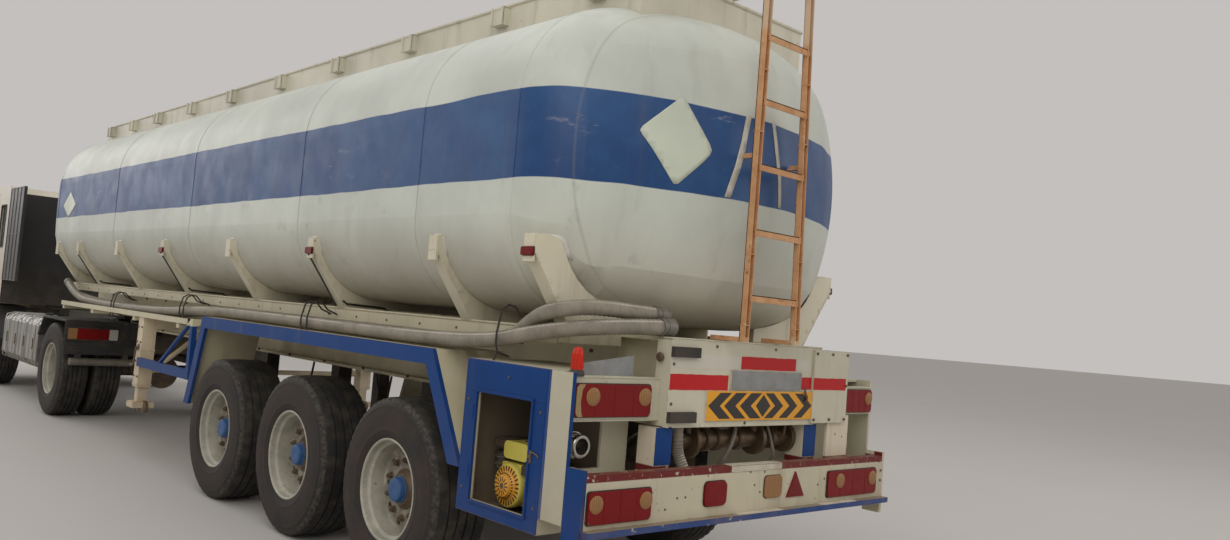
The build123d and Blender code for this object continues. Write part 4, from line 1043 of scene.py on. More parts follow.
# ------------------------------------------------------------------ hoses on the left side
ROUTES = {"outer": ((165, 575, 1600), (170, 760, 1596), (290, 1040, 1570), (520, 1158, 1528), (900, 1152, 1455), (1600, 1154, 1430), (2600, 1144, 1432),
                    (3700, 1152, 1431), (4850, 1146, 1432), (5850, 1150, 1372), (6950, 1142, 1353), (8050, 1150, 1357),
                    (8950, 1142, 1392), (9650, 1072, 1555)),
          "inner": ((250, 545, 1655), (256, 800, 1666), (300, 1030, 1672), (430, 1135, 1644), (600, 1112, 1604), (900, 1044, 1460), (1500, 1040, 1430), (2450, 1048, 1431),
                    (3550, 1038, 1429), (4700, 1044, 1431), (5800, 1036, 1374), (6900, 1048, 1352), (7950, 1038, 1354),
                    (8800, 1040, 1378), (9350, 1022, 1418))}


def spline(pts, order=3, res=24):
    """Points along the NURBS curve through whose frame the route runs."""
    cu = bpy.data.curves.new("route", "CURVE")
    cu.dimensions = "3D"
    cu.resolution_u = res
    sp = cu.splines.new("NURBS")
    sp.points.add(len(pts) - 1)
    for q, p in zip(sp.points, pts):
        q.co = (p[0], p[1], p[2], 1)
    sp.order_u = order
    sp.use_endpoint_u = True
    ob = bpy.data.objects.new("route", cu)
    bpy.context.scene.collection.objects.link(ob)
    me = bpy.data.meshes.new_from_object(ob)
    out = [v.co.copy() for v in me.vertices]
    bpy.data.objects.remove(ob)
    bpy.data.meshes.remove(me)
    return out


def even(pts, gap):
    out, left = [pts[0].copy()], gap
    for a, b in zip(pts, pts[1:]):
        d = (b - a).length
        t = left
        while t <= d:
            out.append(a.lerp(b, t / d))
            t += gap
        left = t - d
    return out


for label, pts in ROUTES.items():
    line = even(spline(pts), 6.5)
    s = Shape()
    # a helix of hard wire under the rubber: the skin rises over it, and the tube is a little flattened
    s.tube(line, 41, 24, radius=lambda i, k: 41.0 - 2.6 * (0.5 - 0.5 * math.cos(2 * pi * (i * 6.5 / 26.0 + k / 24.0))) - 0.6 * math.sin(i * 0.021 + k))
    s.make("hose_" + label, "trailer", "hose", replaces=("hoses",), angle=80)
    s = Shape()
    for end in (0, -1):
        p = line[end]
        d = (line[1] - line[0]).normalized() if end == 0 else (line[-1] - line[-2]).normalized()
        inward = d if end == 0 else -d
        s.lathe(p - inward * 6, inward, [(0, 30), (0, 44), (6, 46), (30, 46), (32, 44), (92, 44), (92, 30)], 32, 0, closed=True)
        for t in (44, 74):
            s.lathe(p + inward * t, inward, [(0, 44), (0, 47), (12, 47), (12, 44)], 32, 0, closed=True)
    s.make("hose_ends_" + label, "trailer", "grey", bevel=0.8)

s = Shape()
for x, zt, ztop, two in ((800, 1462, 1650, 0), (2970, 1431, 1580, 1), (5330, 1398, 1540, 1), (7300, 1354, 1500, 1)):
    for dx in ((0, 90) if two else (0,)):
        s.tube([(x + dx, 1120, zt - 78), (x + dx, 1190, zt - 62), (x + dx, 1206, zt - 20), (x + dx, 1206, zt + 40),
                (x + dx - 4, 1186, ztop - 24), (x + dx - 8, 1150, ztop), (x + dx - 12, 1110, ztop - 6), (x + dx - 14, 1070, ztop - 50),
                (x + dx - 14, 996, zt + 70)], 6, 10)
        s.tube([(x + dx, 1198, zt - 50), (x + dx + 6, 1204, zt - 90), (x + dx + 10, 1206, zt - 112)], 6, 8)
s.make("hose_straps", "trailer", "rubber")

# bearing keel between the tank's lowest line and flat bars across the rails
s = Shape()
s.box(430, 9560, -5, 5, 1544, 1603, 0)
s.box(430, 9560, -62, 62, 1540, 1549, 0)
for x in (480.0, 1350.0, 2870.0, 4300.0, 5830.0, 7180.0, 8600.0, 9480.0):
    s.box(x + 5, x + 80, -474, 474, 1532, 1544, 0)
s.make("tank_keel", "trailer", "frame", bevel=1.0)
# ------------------------------------------------------------------ tail board, tapes and plates
s = Shape()
for u0, u1, v0, v1, x in ((192, 640, 1291, 1371, 88.6), (-395, 92, 1406, 1475, 88.6), (-888, -560, 1303, 1373, 73.6), (-556, -457, 1303, 1373, 88.6)):
    n = 14
    pts = [(u0 + (u1 - u0) * k / n, v0 + rnd.uniform(-1.2, 1.2)) for k in range(n + 1)]
    pts += [(u1 - (u1 - u0) * k / n, v1 + rnd.uniform(-1.2, 1.2)) for k in range(n + 1)]
    s.prism("x", x, x + 1.6, pts)
s.make("tape_red", "trailer", "tape_red", angle=30)
s = Shape()
for u0, u1, v0, v1, x in ((100, 640, 1402, 1477, 88.8), (-554, -402, 1408, 1473, 88.8)):
    s.prism("x", x, x + 1.4, rrect(u0, u1, v0, v1, 3, 2))
s.make("tape_white", "trailer", "tape_white")
s = Shape()
s.prism("x", 79.0, 82.2, rrect(-573, 358, 1133, 1289, 6, 3))
s.make("chevron_plate", "trailer", "tape_yellow", bevel=0.8)
s = Shape()
cy, cz = -107.5, 1211.0
for sgn, tips, t in ((1, (457, 330, 200), 92), (-1, (450, 312, 180), 74)):
    for tip in tips:                           # tip of the arrow, from the middle
        a = cy + sgn * tip
        b = a - sgn * 92
        s.prism("x", 78.2, 79.2, [(a, cz), (b, 1280), (b - sgn * t, 1280), (a - sgn * t, cz), (b - sgn * t, 1143), (b, 1143)])
s.prism("x", 78.2, 79.2, [(cy, 1272), (cy - 64, cz), (cy, 1150), (cy + 64, cz)])
s.make("chevron_marks", "trailer", "tape_black", angle=30)
s = Shape()
s.prism("x", 79.6, 82.2, rrect(-447, 172, 1299, 1398, 10, 4))
s.make("blank_plate_face", "trailer", "plate", bevel=0.8)
s = Shape()
s.prism("x", 78.8, 80.0, rrect(-440, 165, 1305, 1392, 8, 4))
s.prism("x", 78.2, 79.4, rrect(-428, 153, 1317, 1380, 6, 4))
for y in (-436, 160):
    for z in (1310, 1387):
        s.lathe((80, y, z), (-1, 0, 0), [(0, 6), (2.5, 5), (3, 0)], 12)
s.make("blank_plate_border", "trailer", "plate", bevel=0.5)
# bolts of the repair plate, the return and the lamp boxes; the bent latch over the chevrons
s = Shape()
for y, z in ((-890, 1130), (-890, 1330), (-890, 1515), (-580, 1130), (-580, 1515), (-735, 1515), (-735, 1130)):
    s.nut((75, y, z), (-1, 0, 0), 9, 7, 0, 2)
for y, z in ((-598, 1120), (-598, 1520), (620, 1220), (620, 1420), (300, 1520), (-200, 1522), (30, 1118)):
    s.lathe((90, y, z), (-1, 0, 0), [(0, 9), (4, 8), (6, 0)], 14)
s.lathe((150, 644, 1450), (0, 1, 0), [(0, 13), (10, 13), (12, 22), (20, 24), (26, 20), (28, 0)], 20)
s.slab([(75, -498, 1235), (75, -510, 1238), (75, -478, 1316), (75, -466, 1312)], (-5, 0, 0))
s.slab([(75, -498, 1235), (75, -486, 1236), (75, -496, 1272), (75, -508, 1270)], (-5, 0, 0))
s.make("tail_bolts", "trailer", "bolt", bevel=0.8)
# return lips and weld beads of the board
s = Shape()
s.box(84, 112, 626, 648, 1101, 1107)
s.box(86, 152, -642, 648, 1546, 1553)
s.tube([(91, y, 1103) for y in range(-600, 641, 60)], 4, 6)
s.box(146, 194, 640, 1234, 1336, 1345)
s.box(146, 194, 640, 1234, 1130, 1137)
s.box(108, 152, -1234, -905, 1316, 1323)
s.make("tail_lips", "trailer", "board", bevel=2)
s = Shape()
s.prism("x", 192, 197, [(800, 1345), (1150, 1345), (1150, 1400), (800, 1448)])
s.make("grey_sheet", "trailer", "plate", bevel=1)


# ------------------------------------------------------------------ lamps
def rear_lamp(name, x, y0, y1, z0, z1, circles, wrap=0.0):
    """Cluster lamp: dark back box, red lens body with rounded shoulders, two round pale lenses, screws."""
    s = Shape()
    s.prism("x", x, x + 13, rrect(y0, y1, z0, z1, 16, 4), 0)
    w, h = y1 - y0, z1 - z0
    s.prism("x", x - 8, x + 1, rrect(y0 + 4, y1 - 4, z0 + 4, z1 - 4, 22, 6), 1)
    for k in range(1, 4):
        y = y0 + w * k / 4.0
        s.box(x - 9.2, x - 7, y - 1.6, y + 1.6, z0 + 8, z1 - 8, 1)
    for f in circles:
        c = (x - 7.5, y0 + w * f, z0 + h * 0.61)
        r = h * 0.27
        s.lathe(c, (-1, 0, 0), [(0, r), (3, r), (6, r * 0.86), (8, r * 0.5), (8.6, 0)], 32, 2)
    if wrap:
        s.prism("x", x - 10.4, x - 7.4, [(y1 - 5, z0 + 24), (y1 - 5, z1 - 22), (y1 - 22, z1 - 5), (y1 - wrap - 12, z1 - 5),
                                        (y1 - wrap + 6, z1 - 34), (y1 - wrap + 12, z0 + h * 0.45), (y1 - wrap + 4, z0 + 30),
                                        (y1 - wrap - 4, z0 + 5), (y1 - 22, z0 + 5)], 4)
    for y, z in ((y0 + 14, z0 + 12), (y1 - 14, z0 + 12)):
        s.lathe((x - 8, y, z), (-1, 0, 0), [(0, 5), (1.5, 5), (2.2, 0)], 12, 3)
    return s.make(name, "trailer", ["plastic", "red", "amber", "bolt", "side_lens"], bevel=2.2, angle=40)


rear_lamp("lamp_upper_left", 138, 717, 1220, 1150, 1312, (0.78, 0.095), 46.0)
rear_lamp("lamp_upper_right", 100, -1220, -929, 1165, 1309, (0.14,))
rear_lamp("lamp_lower_left", -6, 807, 1220, 682, 838, (0.875, 0.105))
rear_lamp("lamp_lower_right", -6, -1158, -642, 687, 844, (0.76, 0.095))
s = Shape()
s.prism("x", -4, 0, rrect(254, 430, 710, 842, 30, 6), 0)
s.prism("x", -13, -4, rrect(258, 426, 714, 838, 30, 6), 1)
s.prism("x", -14.2, -12.5, rrect(274, 410, 728, 824, 22, 6), 1)
s.make("marker_red", "trailer", ["plastic", "red"], bevel=2)
s = Shape()
s.prism("x", -4, 0, rrect(-213, -57, 722, 847, 26, 6), 0)
s.prism("x", -11, -4, rrect(-210, -60, 725, 844, 26, 6), 1)
s.make("marker_amber", "trailer", ["plastic", "amber"], bevel=2)
s = Shape()
s.prism("x", -9, 0, [(-333, 856), (-262, 717), (-421, 717)], 0)
s.prism("x", -9.8, -8.5, [(-333, 836), (-276, 725), (-407, 725)], 0)
s.make("reflector_triangle", "trailer", "reflector", bevel=1.5)
s = Shape()
s.lathe((170, 1190, 1342), (0, 0, 1), [(0, 37), (6, 38), (20, 36), (26, 31), (30, 30), (30, 0)], 40, 0)
s.lathe((170, 1190, 1372), (0, 0, 1), [(0, 29), (4, 30), (70, 27), (92, 24), (102, 16), (106, 0)], 40, 1)
for k in range(20):
    a = 2 * pi * k / 20
    s.tube([(170 + 30 * math.cos(a), 1190 + 30 * math.sin(a), 1378), (170 + 27.6 * math.cos(a), 1190 + 27.6 * math.sin(a), 1442)], 1.4, 5, 1)
s.make("beacon", "trailer", ["plastic", "beacon"], replaces=("trailer_lamps",), angle=40)
for i, x in enumerate((480.0, 2870.0, 5830.0)):
    for lab, sgn in (("left", 1), ("right", -1)):
        s = Shape()
        ya, yb = (1256, 1262) if sgn > 0 else (-1262, -1256)
        s.prism("y", ya, yb, rrect(x - 4, x + 94, 1896, 1944, 8, 4), 0)
        ya, yb = (1262, 1274) if sgn > 0 else (-1274, -1262)
        s.prism("y", ya, yb, rrect(x - 1, x + 91, 1899, 1941, 8, 4), 1)
        s.make("side_marker_%s_%d" % (lab, i + 1), "trailer", ["plastic", "red"], bevel=1.6)

# ------------------------------------------------------------------ bumper details
s = Shape()
s.prism("x", -3, 1, rrect(-206, 218, 876, 909, 4, 3), 0)
s.prism("z", 907, 911, rrect(-3, 58, -206, 218, 4, 3), 0)
for k in range(42):
    for j in range(2):
        s.lathe((-3, -196 + k * 9.8, 886 + j * 13), (-1, 0, 0), [(0, 3), (1.5, 2), (1.8, 0)], 6, 0)
for y0, y1 in ((-190, 190), (-900, -560)):
    s.prism("z", 661.5, 664, rrect(-48, -2, y0, y1, 4, 3), 0)
    for k in range(int((y1 - y0) / 11)):
        for j in range(4):
            s.lathe((-42 + j * 11, y0 + 8 + k * 11, 664), (0, 0, 1), [(0, 3), (1.5, 2), (1.8, 0)], 6, 0)
s.make("anti_slip_patches", "trailer", "tape_patch")
s = Shape()
for y, z in ((560, 770), (620, 770), (60, 870), (-60, 866), (20, 800), (-30, 760), (-500, 880), (-560, 770), (-620, 800), (700, 720)):
    s.lathe((0, y, z), (-1, 0, 0), [(0, 6), (3, 5), (4, 0)], 10, 0)
for y, z in ((-1218, 760), (-1218, 820), (-1195, 880)):
    s.nut((0, y, z), (-1, 0, 0), 8, 6, 0, 2)
s.make("bumper_bolts", "trailer", "bolt", bevel=0.6)
s = Shape()
for y0, y1 in ((572, 688), (-663, -547)):
    s.box(108.5, 113, y0, y1, 912, 1099)
s.box(-1, 118.6, 1249, 1251.5, 559, 931)
s.make("post_faces", "trailer", "blue", bevel=1)

# ------------------------------------------------------------------ left cabinet: frame, missing door's hinges, latch
s = Shape()
for x0, x1, z0, z1 in ((300, 965, 1195, 1356), (300, 965, 584, 650), (300, 400, 650, 1195), (850, 965, 650, 1195)):
    s.box(x0 - 2, x1, 1247, 1253, z0, z1)
for x0, x1, z0, z1 in ((386, 864, 1195, 1210), (386, 864, 636, 650), (386, 400, 650, 1195), (850, 864, 650, 1195)):
    s.box(x0, x1, 1252, 1261, z0, z1)
for z in (760, 1060):
    s.rod((872, 1258, z), (872, 1258, z + 70), 7, 12)
s.make("cabinet_frame_blue", "trailer", "blue", bevel=2)
s = Shape()
s.box(372, 396, 1252, 1259, 905, 965)
s.lathe((384, 1258, 935), (0, 1, 0), [(0, 9), (5, 9), (6, 0)], 14)
s.tube([(392, 1256, 950), (360, 1259, 958), (330, 1258, 950), (318, 1256, 938)], 4, 8)
for x, z in ((330, 700), (330, 1150), (925, 700), (925, 1150), (600, 1290)):
    s.lathe((x, 1253, z), (0, 1, 0), [(0, 8), (4, 7), (5, 0)], 12)
s.make("cabinet_latch", "trailer", "bolt", bevel=0.8)
s = Shape()
for x in (328, 640, 932):
    s.lathe((301, 760 + (x - 328) * 0.6, 640), (-1, 0, 0), [(0, 7), (3, 6), (4, 0)], 10)
s.box(118.5, 121, 1230, 1251.5, 660, 1361)
s.make("cabinet_edges", "trailer", "blue", bevel=1)
for sgn, lab in ((-1, "right"),):
    s = Shape()
    for x0, x1, z0, z1 in ((300, 965, 1195, 1356), (300, 965, 584, 650), (300, 400, 650, 1195), (850, 965, 650, 1195)):
        s.box(x0 - 2, x1, sgn * 1247, sgn * 1253, z0, z1)
    s.make("cabinet_frame_" + lab, "trailer", "blue", bevel=2)
s = Shape()
s.prism("y", -1252, -1237, rrect(406, 844, 656, 1189, 12, 4), 0)
s.prism("y", -1256, -1251, rrect(440, 810, 690, 1155, 20, 4), 0)
s.box(420, 440, -1262, -1250, 880, 960, 1)
s.rod((430, -1262, 880), (430, -1262, 960), 6, 12, 1)
for z in (760.0, 1020.0):
    s.rod((852, -1257, z), (852, -1257, z + 60), 6, 14, 1)
    s.box(800, 850, -1262, -1255, z + 4, z + 56, 1)
s.make("cabinet_door_right_panel", "cabinet_door_right", ["cream", "bolt"], bevel=2, replaces=("cabinet_door_right",))

# ------------------------------------------------------------------ petrol engine and pump in the cabinet
s = Shape()
# 0 bolt steel, 1 yellow paint, 2 dark, 3 grey, 4 black
for x in (558, 768):
    s.box(x, x + 24, 895, 1095, 600, 640, 0)
s.box(550, 800, 905, 930, 634, 642, 0)
s.box(550, 800, 1050, 1078, 634, 642, 0)
s.prism("y", 900, 1085, rrect(560, 795, 642, 800, 30, 4), 1)
s.prism("y", 905, 1115, rrect(570, 780, 800, 850, 16, 3), 1)
s.prism("y", 930, 1120, rrect(572, 768, 868, 958, 26, 5), 1)
s.lathe((670, 1030, 957), (0, 0, 1), [(0, 30), (3, 30), (3, 0)], 28, 0)
c = (690, 1085, 738)
s.lathe(c, (0, 1, 0), [(0, 108), (20, 112), (46, 112), (54, 108), (58, 102), (60, 72), (68, 66), (72, 60), (88, 54), (90, 50), (90, 0)], 72, 1)
for k in range(26):
    s.t = Matrix.Translation(c) @ Matrix.Rotation(2 * pi * k / 26, 4, "Y")
    s.box(74, 99, 57, 62, -3.4, 3.4, 4)
    s.box(59, 66, 64, 76, -2.4, 2.4, 4)
    if k % 2:
        s.box(22, 48, 89, 91.5, -3.0, 3.0, 4)
s.t = Matrix.Identity(4)
s.lathe((690, 1172, 738), (0, 1, 0), [(0, 18), (3, 17), (4, 0)], 24, 0)
for k in range(8):
    s.prism("x", 784 + k * 13, 790 + k * 13, rrect(935, 1055, 762, 896, 10, 3), 2)
s.box(780, 886, 950, 1040, 775, 885, 2)
s.prism("y", 935, 1100, rrect(780, 880, 905, 962, 20, 5), 2)
for k in range(5):
    s.box(792 + k * 17, 798 + k * 17, 1098, 1104, 916, 950, 0)
# round air cleaner ahead of the tank, on its elbow
s.lathe((838, 1060, 800), (0, 0, 1), [(0, 44), (4, 50), (60, 50), (64, 54), (74, 54), (84, 46), (96, 20), (98, 0)], 40, 2)
s.lathe((838, 1060, 858), (0, 0, 1), [(0, 52), (4, 56), (8, 52)], 40, 3)
s.tube([(800, 1060, 830), (786, 1066, 826), (776, 1080, 816)], 16, 14, 2)
# pump volute with its flange and drain plug
s.lathe((532, 1010, 720), (-1, 0, 0), [(0, 90), (30, 92), (34, 86), (66, 84), (72, 70), (72, 52), (96, 50), (96, 62), (110, 62), (110, 0)], 48, 3)
for k in range(8):
    a = 2 * pi * k / 8
    s.nut((420, 1010 + 50 * math.cos(a), 720 + 50 * math.sin(a)), (-1, 0, 0), 7, 7, 0)
s.box(425, 480, 965, 1055, 600, 640, 3)
s.lathe((480, 1010, 800), (0, 0, 1), [(0, 44), (12, 44), (12, 0)], 32, 3)
s.box(566, 600, 1085, 1130, 806, 852, 2)
s.tube([(600, 1110, 868), (586, 1128, 850), (580, 1132, 830), (584, 1120, 812)], 4, 8, 2)
s.tube([(750, 1150, 812), (762, 1158, 824), (766, 1150, 838)], 4, 8, 2)
s.rod((742, 1150, 842), (790, 1150, 834), 9, 12, 2, 3)
s.make("petrol_engine", "trailer", ["bolt", "yellow", "dark", "grey", "tape_black"], bevel=1.6, replaces=("petrol_pump",), angle=38)

# ------------------------------------------------------------------ rear pipework
s = Shape()
s.rod((250, -520, 1010), (250, 520, 1010), 50, 40, 0)
for y in (-545, 515):
    s.lathe((250, y, 1010), (0, 1, 0), [(0, 85), (4, 88), (26, 88), (30, 85)], 48, 0)
    for k in range(8):
        a = 2 * pi * k / 8
        s.nut((250 + 70 * math.cos(a), y + (30 if y > 0 else 0), 1010 + 70 * math.sin(a)), (0, 1 if y > 0 else -1, 0), 9, 9, 1, 3)
for y in (300, -250):
    s.rod((250, y, 1010), (250, y, 1298), 40, 32, 0)
    s.lathe((250, y, 1120), (0, 0, 1), [(0, 78), (16, 78), (16, 44), (34, 44), (34, 78), (50, 78)], 40, 0)
    for k in range(6):
        a = 2 * pi * k / 6
        s.nut((250 + 62 * math.cos(a), y + 62 * math.sin(a), 1170), (0, 0, 1), 8, 9, 1)
        s.nut((250 + 62 * math.cos(a), y + 62 * math.sin(a), 1120), (0, 0, -1), 8, 9, 1)
# grooved couplings along the pipe, a valve body and its lever
for y in (-420, -120, 60, 150, 430):
    s.lathe((250, y, 1010), (0, 1, 0), [(0, 54), (2, 60), (10, 64), (40, 64), (48, 60), (50, 54)], 40, 2)
    s.box(238, 262, y + 8, y + 42, 1066, 1084, 1)
for y in (300, -250):
    s.lathe((250, y - 15, 1010), (0, 1, 0), [(0, 92), (4, 95), (26, 95), (30, 92)], 48, 0)
s.tube([(200, -420, 1010), (160, -420, 1040), (150, -420, 1120), (152, -300, 1126)], 9, 10, 1)
s.make("cross_pipe", "trailer", ["pipe_cast", "bolt", "pipe_cast"], bevel=1.5)
s = Shape()
O = (225, 1070, 1000)
s.lathe(O, (1, 0, 0), [(0, 40), (0, 52), (4, 56), (22, 56), (26, 50), (44, 50), (48, 58), (60, 62), (60, 66), (120, 66), (120, 40),
                       (60, 40)], 56, 0, closed=True)
for k in (-1, 1):
    s.tube([(262, 1070 + k * 56, 1000), (250, 1070 + k * 70, 1000), (262, 1070 + k * 76, 1000), (312, 1070 + k * 72, 1000)], 6, 10, 0)
    s.lathe((262, 1070 + k * 56, 985), (0, 0, 1), [(0, 9), (30, 9)], 12, 0)
s.rod((340, 1070, 1000), (370, 1070, 1000), 39, 32, 1)
s.rod((364, 1070, 812), (364, 1070, 1000), 39, 32, 1)
s.lathe((364, 1070, 1000), (0, 0, 1), [(0, 40), (14, 38), (26, 26), (32, 0)], 32, 1)
s.make("outlet_coupling", "trailer", ["chrome", "grey"], bevel=1.0, replaces=("rear_pipes",), angle=40)
# rubber lines that hang behind the board
s = Shape()
s.tube(spline([(170, 470, 1098), (168, 468, 1020), (172, 455, 960), (150, 440, 900), (140, 430, 868)], 3, 16), 30, 20, 0,
       radius=lambda i, k: 30 - 1.5 * math.cos(i * 1.4))
s.tube(spline([(220, -60, 1110), (190, -20, 1060), (180, 20, 980), (200, 40, 920), (230, 40, 880), (260, 20, 868)], 3, 16), 11, 12)
s.tube(spline([(220, -320, 1110), (196, -330, 1050), (180, -350, 960), (190, -380, 900), (230, -400, 870)], 3, 16), 9, 12)
s.make("rubber_lines", "trailer", "hose")

# ------------------------------------------------------------------ tractor
s = Shape()
for i in range(11):
    x = 10300 + i * 184
    if all(abs(x - m) > 60 for m in (10450, 10930, 11410, 11890)):
        s.tube([(x, 735, 459), (x, 1100, 459), (x, 1176, 486), (x, 1191, 560), (x, 1191, 970), (x, 1176, 1044),
                (x, 1100, 1071), (x, 735, 1071)], 7, 8)
for x in (10450, 10930, 11410, 11890):
    for e in (-26, 26):
        s.tube([(x + e, 735, 454), (x + e, 1104, 454), (x + e, 1196, 546), (x + e, 1196, 984), (x + e, 1104, 1076), (x + e, 735, 1076)], 5, 8)
    s.rod((x, 1202, 700), (x, 1202, 800), 8, 12, 1)
    s.nut((x, 1202, 800), (0, 0, 1), 12, 12, 1, 5)
    s.nut((x, 1202, 700), (0, 0, -1), 12, 12, 1, 5)
s.lathe((11100, 900, 1090), (0, 0, 1), [(0, 46), (4, 50), (20, 50), (26, 44), (28, 20), (28, 0)], 36, 2)
s.box(11094, 11106, 856, 944, 1116, 1128, 2)
for z in (560, 760, 960):
    s.lathe((10259, 900, z), (-1, 0, 0), [(0, 14), (4, 12), (5, 0)], 16, 1)
s.make("fuel_tank_straps", "tractor", ["alu", "bolt", "plastic"], bevel=1.0)

s = Shape()
for sgn in (1, -1):
    for i in range(18):
        x = 8850 + i * 300
        for z in (800, 980):
            s.nut((x, sgn * 430, z), (0, sgn, 0), 13, 11, 0, 6)
            s.lathe((x, sgn * 430, z), (0, sgn, 0), [(0, 17), (2, 17), (2, 0)], 14, 0)
    # spring leaves, U bolts and dampers of the drive axle
    for j, (a, b) in enumerate(((8960, 9940), (9020, 9880), (9090, 9810), (9170, 9730))):
        s.box(a, b, sgn * 362, sgn * 428, 706 - j * 14 - 12, 706 - j * 14 - 2, 1)
    for x in (9400, 9500):
        s.tube([(x, sgn * 356, 560), (x, sgn * 356, 716), (x, sgn * 434, 716), (x, sgn * 434, 560)], 9, 10, 0)
    s.rod((9250, sgn * 400, 540), (9150, sgn * 400, 860), 24, 20, 1, 3)
    for j, (a, b) in enumerate(((12360, 13740), (12460, 13640), (12580, 13520), (12700, 13400))):
        s.box(a, b, sgn * 362, sgn * 428, 640 - j * 13 - 11, 640 - j * 13 - 2, 1)
    for x in (13010, 13090):
        s.tube([(x, sgn * 356, 470), (x, sgn * 356, 650), (x, sgn * 434, 650), (x, sgn * 434, 470)], 9, 10, 0)
for k in range(12):
    a = 2 * pi * k / 12
    s.nut((9320, 165 * math.cos(a), 510 + 165 * math.sin(a)), (-1, 0, 0), 11, 9, 0, 3)
s.lathe((9320, 0, 510), (-1, 0, 0), [(0, 182), (6, 182), (10, 150), (26, 120), (34, 60), (36, 0)], 56, 1)
s.make("tractor_bolts", "tractor", ["bolt", "dark"], bevel=0)

s = Shape()
for sgn in (1, -1):
    # rolled lips of the rear guards, ribs of the drop panel, round bar behind the wheels
    s.tube([(8860, sgn * 1238, 748), (8860, sgn * 1238, 1128), (9845, sgn * 1238, 1128), (10058, sgn * 1238, 898)], 8, 10, 0)
    s.tube([(8860, sgn * 562, 1128), (9845, sgn * 562, 1128), (10056, sgn * 562, 898)], 8, 10, 0)
    for z in (775, 850):
        s.box(8832, 8842, sgn * 450, sgn * 1220, z, z + 26, 0)
    s.rod((8855, sgn * 498, 666), (8855, sgn * 1172, 666), 43, 32, 1, 6)
    s.tube([(12352, sgn * 1233, 692), (12642, sgn * 1233, 1138), (13458, sgn * 1233, 1138), (13718, sgn * 1233, 702)], 8, 10, 0)
    for x in (9000, 9300, 9600):
        s.lathe((x, sgn * 900, 1131), (0, 0, 1), [(0, 14), (3, 12), (4, 0)], 14, 0)
s.make("mudguard_lips", "tractor", ["plastic", "grey"], bevel=1)


def tail_lamp(name, sgn):
    s = Shape()
    s.prism("x", 8820, 8838, rrect(*sorted((sgn * 690, sgn * 1225)), 905, 1060, 14, 4), 0)
    spans = ((700, 790, 2), (794, 880, 1), (884, 1120, 1), (1124, 1215, 3))
    for a, b, m in spans:
        s.prism("x", 8813, 8821, rrect(*sorted((sgn * a, sgn * b)), 922, 1043, 10, 3), m)
        for j in range(1, 4):
            z = 922 + 30.2 * j
            s.box(8811.6, 8814, *sorted((sgn * (a + 5), sgn * (b - 5))), z - 1, z + 1, m)
    for y in (696, 1219):
        s.lathe((8820, sgn * y, 982), (-1, 0, 0), [(0, 5), (2, 5), (3, 0)], 10, 4)
    s.make(name, "tractor", ["plastic", "red", "clear", "amber", "bolt"], bevel=1.5)


tail_lamp("tractor_tail_lamp_left", 1)
tail_lamp("tractor_tail_lamp_right", -1)


def headlamp(name, sgn):
    s = Shape()
    ya, yb = sorted((sgn * 800, sgn * 1180))
    s.prism("x", 14424, 14434, rrect(ya, yb, 520, 700, 22, 5), 0)
    for y, r in ((sgn * 890, 66), (sgn * 1035, 66)):
        s.lathe((14433, y, 612), (1, 0, 0), [(0, r), (8, r), (8, r - 5), (2, r * 0.6), (1, 14), (5, 12), (7, 0)], 40, 1)
    s.prism("x", 14433, 14444, rrect(*sorted((sgn * 1112, sgn * 1172)), 535, 688, 10, 3), 2)
    s.prism("x", 14444, 14448, rrect(ya + 8, yb - 8, 528, 692, 18, 5), 3)
    for k in range(1, 12):
        y = ya + (yb - ya) * k / 12.0
        s.box(14447.4, 14448.8, y - 0.8, y + 0.8, 534, 686, 3)
    s.make(name, "tractor", ["plastic", "chrome", "amber", "glass"], bevel=1.0, replaces=("tractor_lamps",))


headlamp("headlamp_left", 1)
headlamp("headlamp_right", -1)

s = Shape()
# bumper: intake slots, blank plate, step treads, towing cover
for k in range(4):
    s.prism("x", 14428, 14432.5, rrect(-620, 620, 500 + k * 62 if k else 500, 530 + k * 62 if k else 530, 12, 3), 0)
s.prism("x", 14432, 14436, rrect(-260, 260, 350, 462, 8, 3), 1)
for y in (-245, 245):
    s.lathe((14436, y, 406), (1, 0, 0), [(0, 6), (2, 5), (3, 0)], 10, 2)
for sgn in (1, -1):
    for z in (400, 620):
        s.box(13806, 14124, *sorted((sgn * 1056, sgn * 1236)), z - 1, z + 5, 0)
        for j in range(7):
            s.box(13820 + j * 42, 13838 + j * 42, *sorted((sgn * 1070, sgn * 1228)), z + 4, z + 9, 2)
    s.lathe((14430, sgn * 640, 400), (1, 0, 0), [(0, 58), (5, 58), (8, 50), (8, 0)], 36, 0)
    s.lathe((14438, sgn * 640, 400), (1, 0, 0), [(0, 46), (4, 44), (7, 30), (8, 0)], 36, 3)
s.make("front_bumper_trim", "tractor", ["plastic", "plate", "bolt", "clear"], bevel=1.2)

s = Shape()
# air tank bands and drain; battery box lid, ribs and latches
for x in (11180, 11420, 11880, 12120):
    s.lathe((x - 16, -930, 760), (1, 0, 0), [(0, 144), (32, 144)], 48, 0)
for x in (11150, 12150):
    d = -1 if x < 11500 else 1
    s.lathe((x, -930, 760), (d, 0, 0), [(0, 138), (14, 128), (26, 96), (34, 50), (36, 0)], 48, 1)
s.lathe((11650, -930, 622), (0, 0, -1), [(0, 14), (14, 14), (16, 8), (24, 8), (24, 0)], 16, 2)
s.prism("z", 1030, 1048, rrect(10252, 11008, -1198, -652, 24, 4), 3)
for k in range(7):
    s.box(10300 + k * 105, 10330 + k * 105, -1196, -1189, 580, 1020, 3)
for x in (10420, 10840):
    s.box(x, x + 26, -1204, -1188, 985, 1050, 2)
    s.rod((x + 13, -1200, 985), (x + 13, -1200, 1040), 6, 10, 2)
s.make("right_side_fittings", "tractor", ["bolt", "grey", "dark", "plastic"], bevel=1.5)

s = Shape()
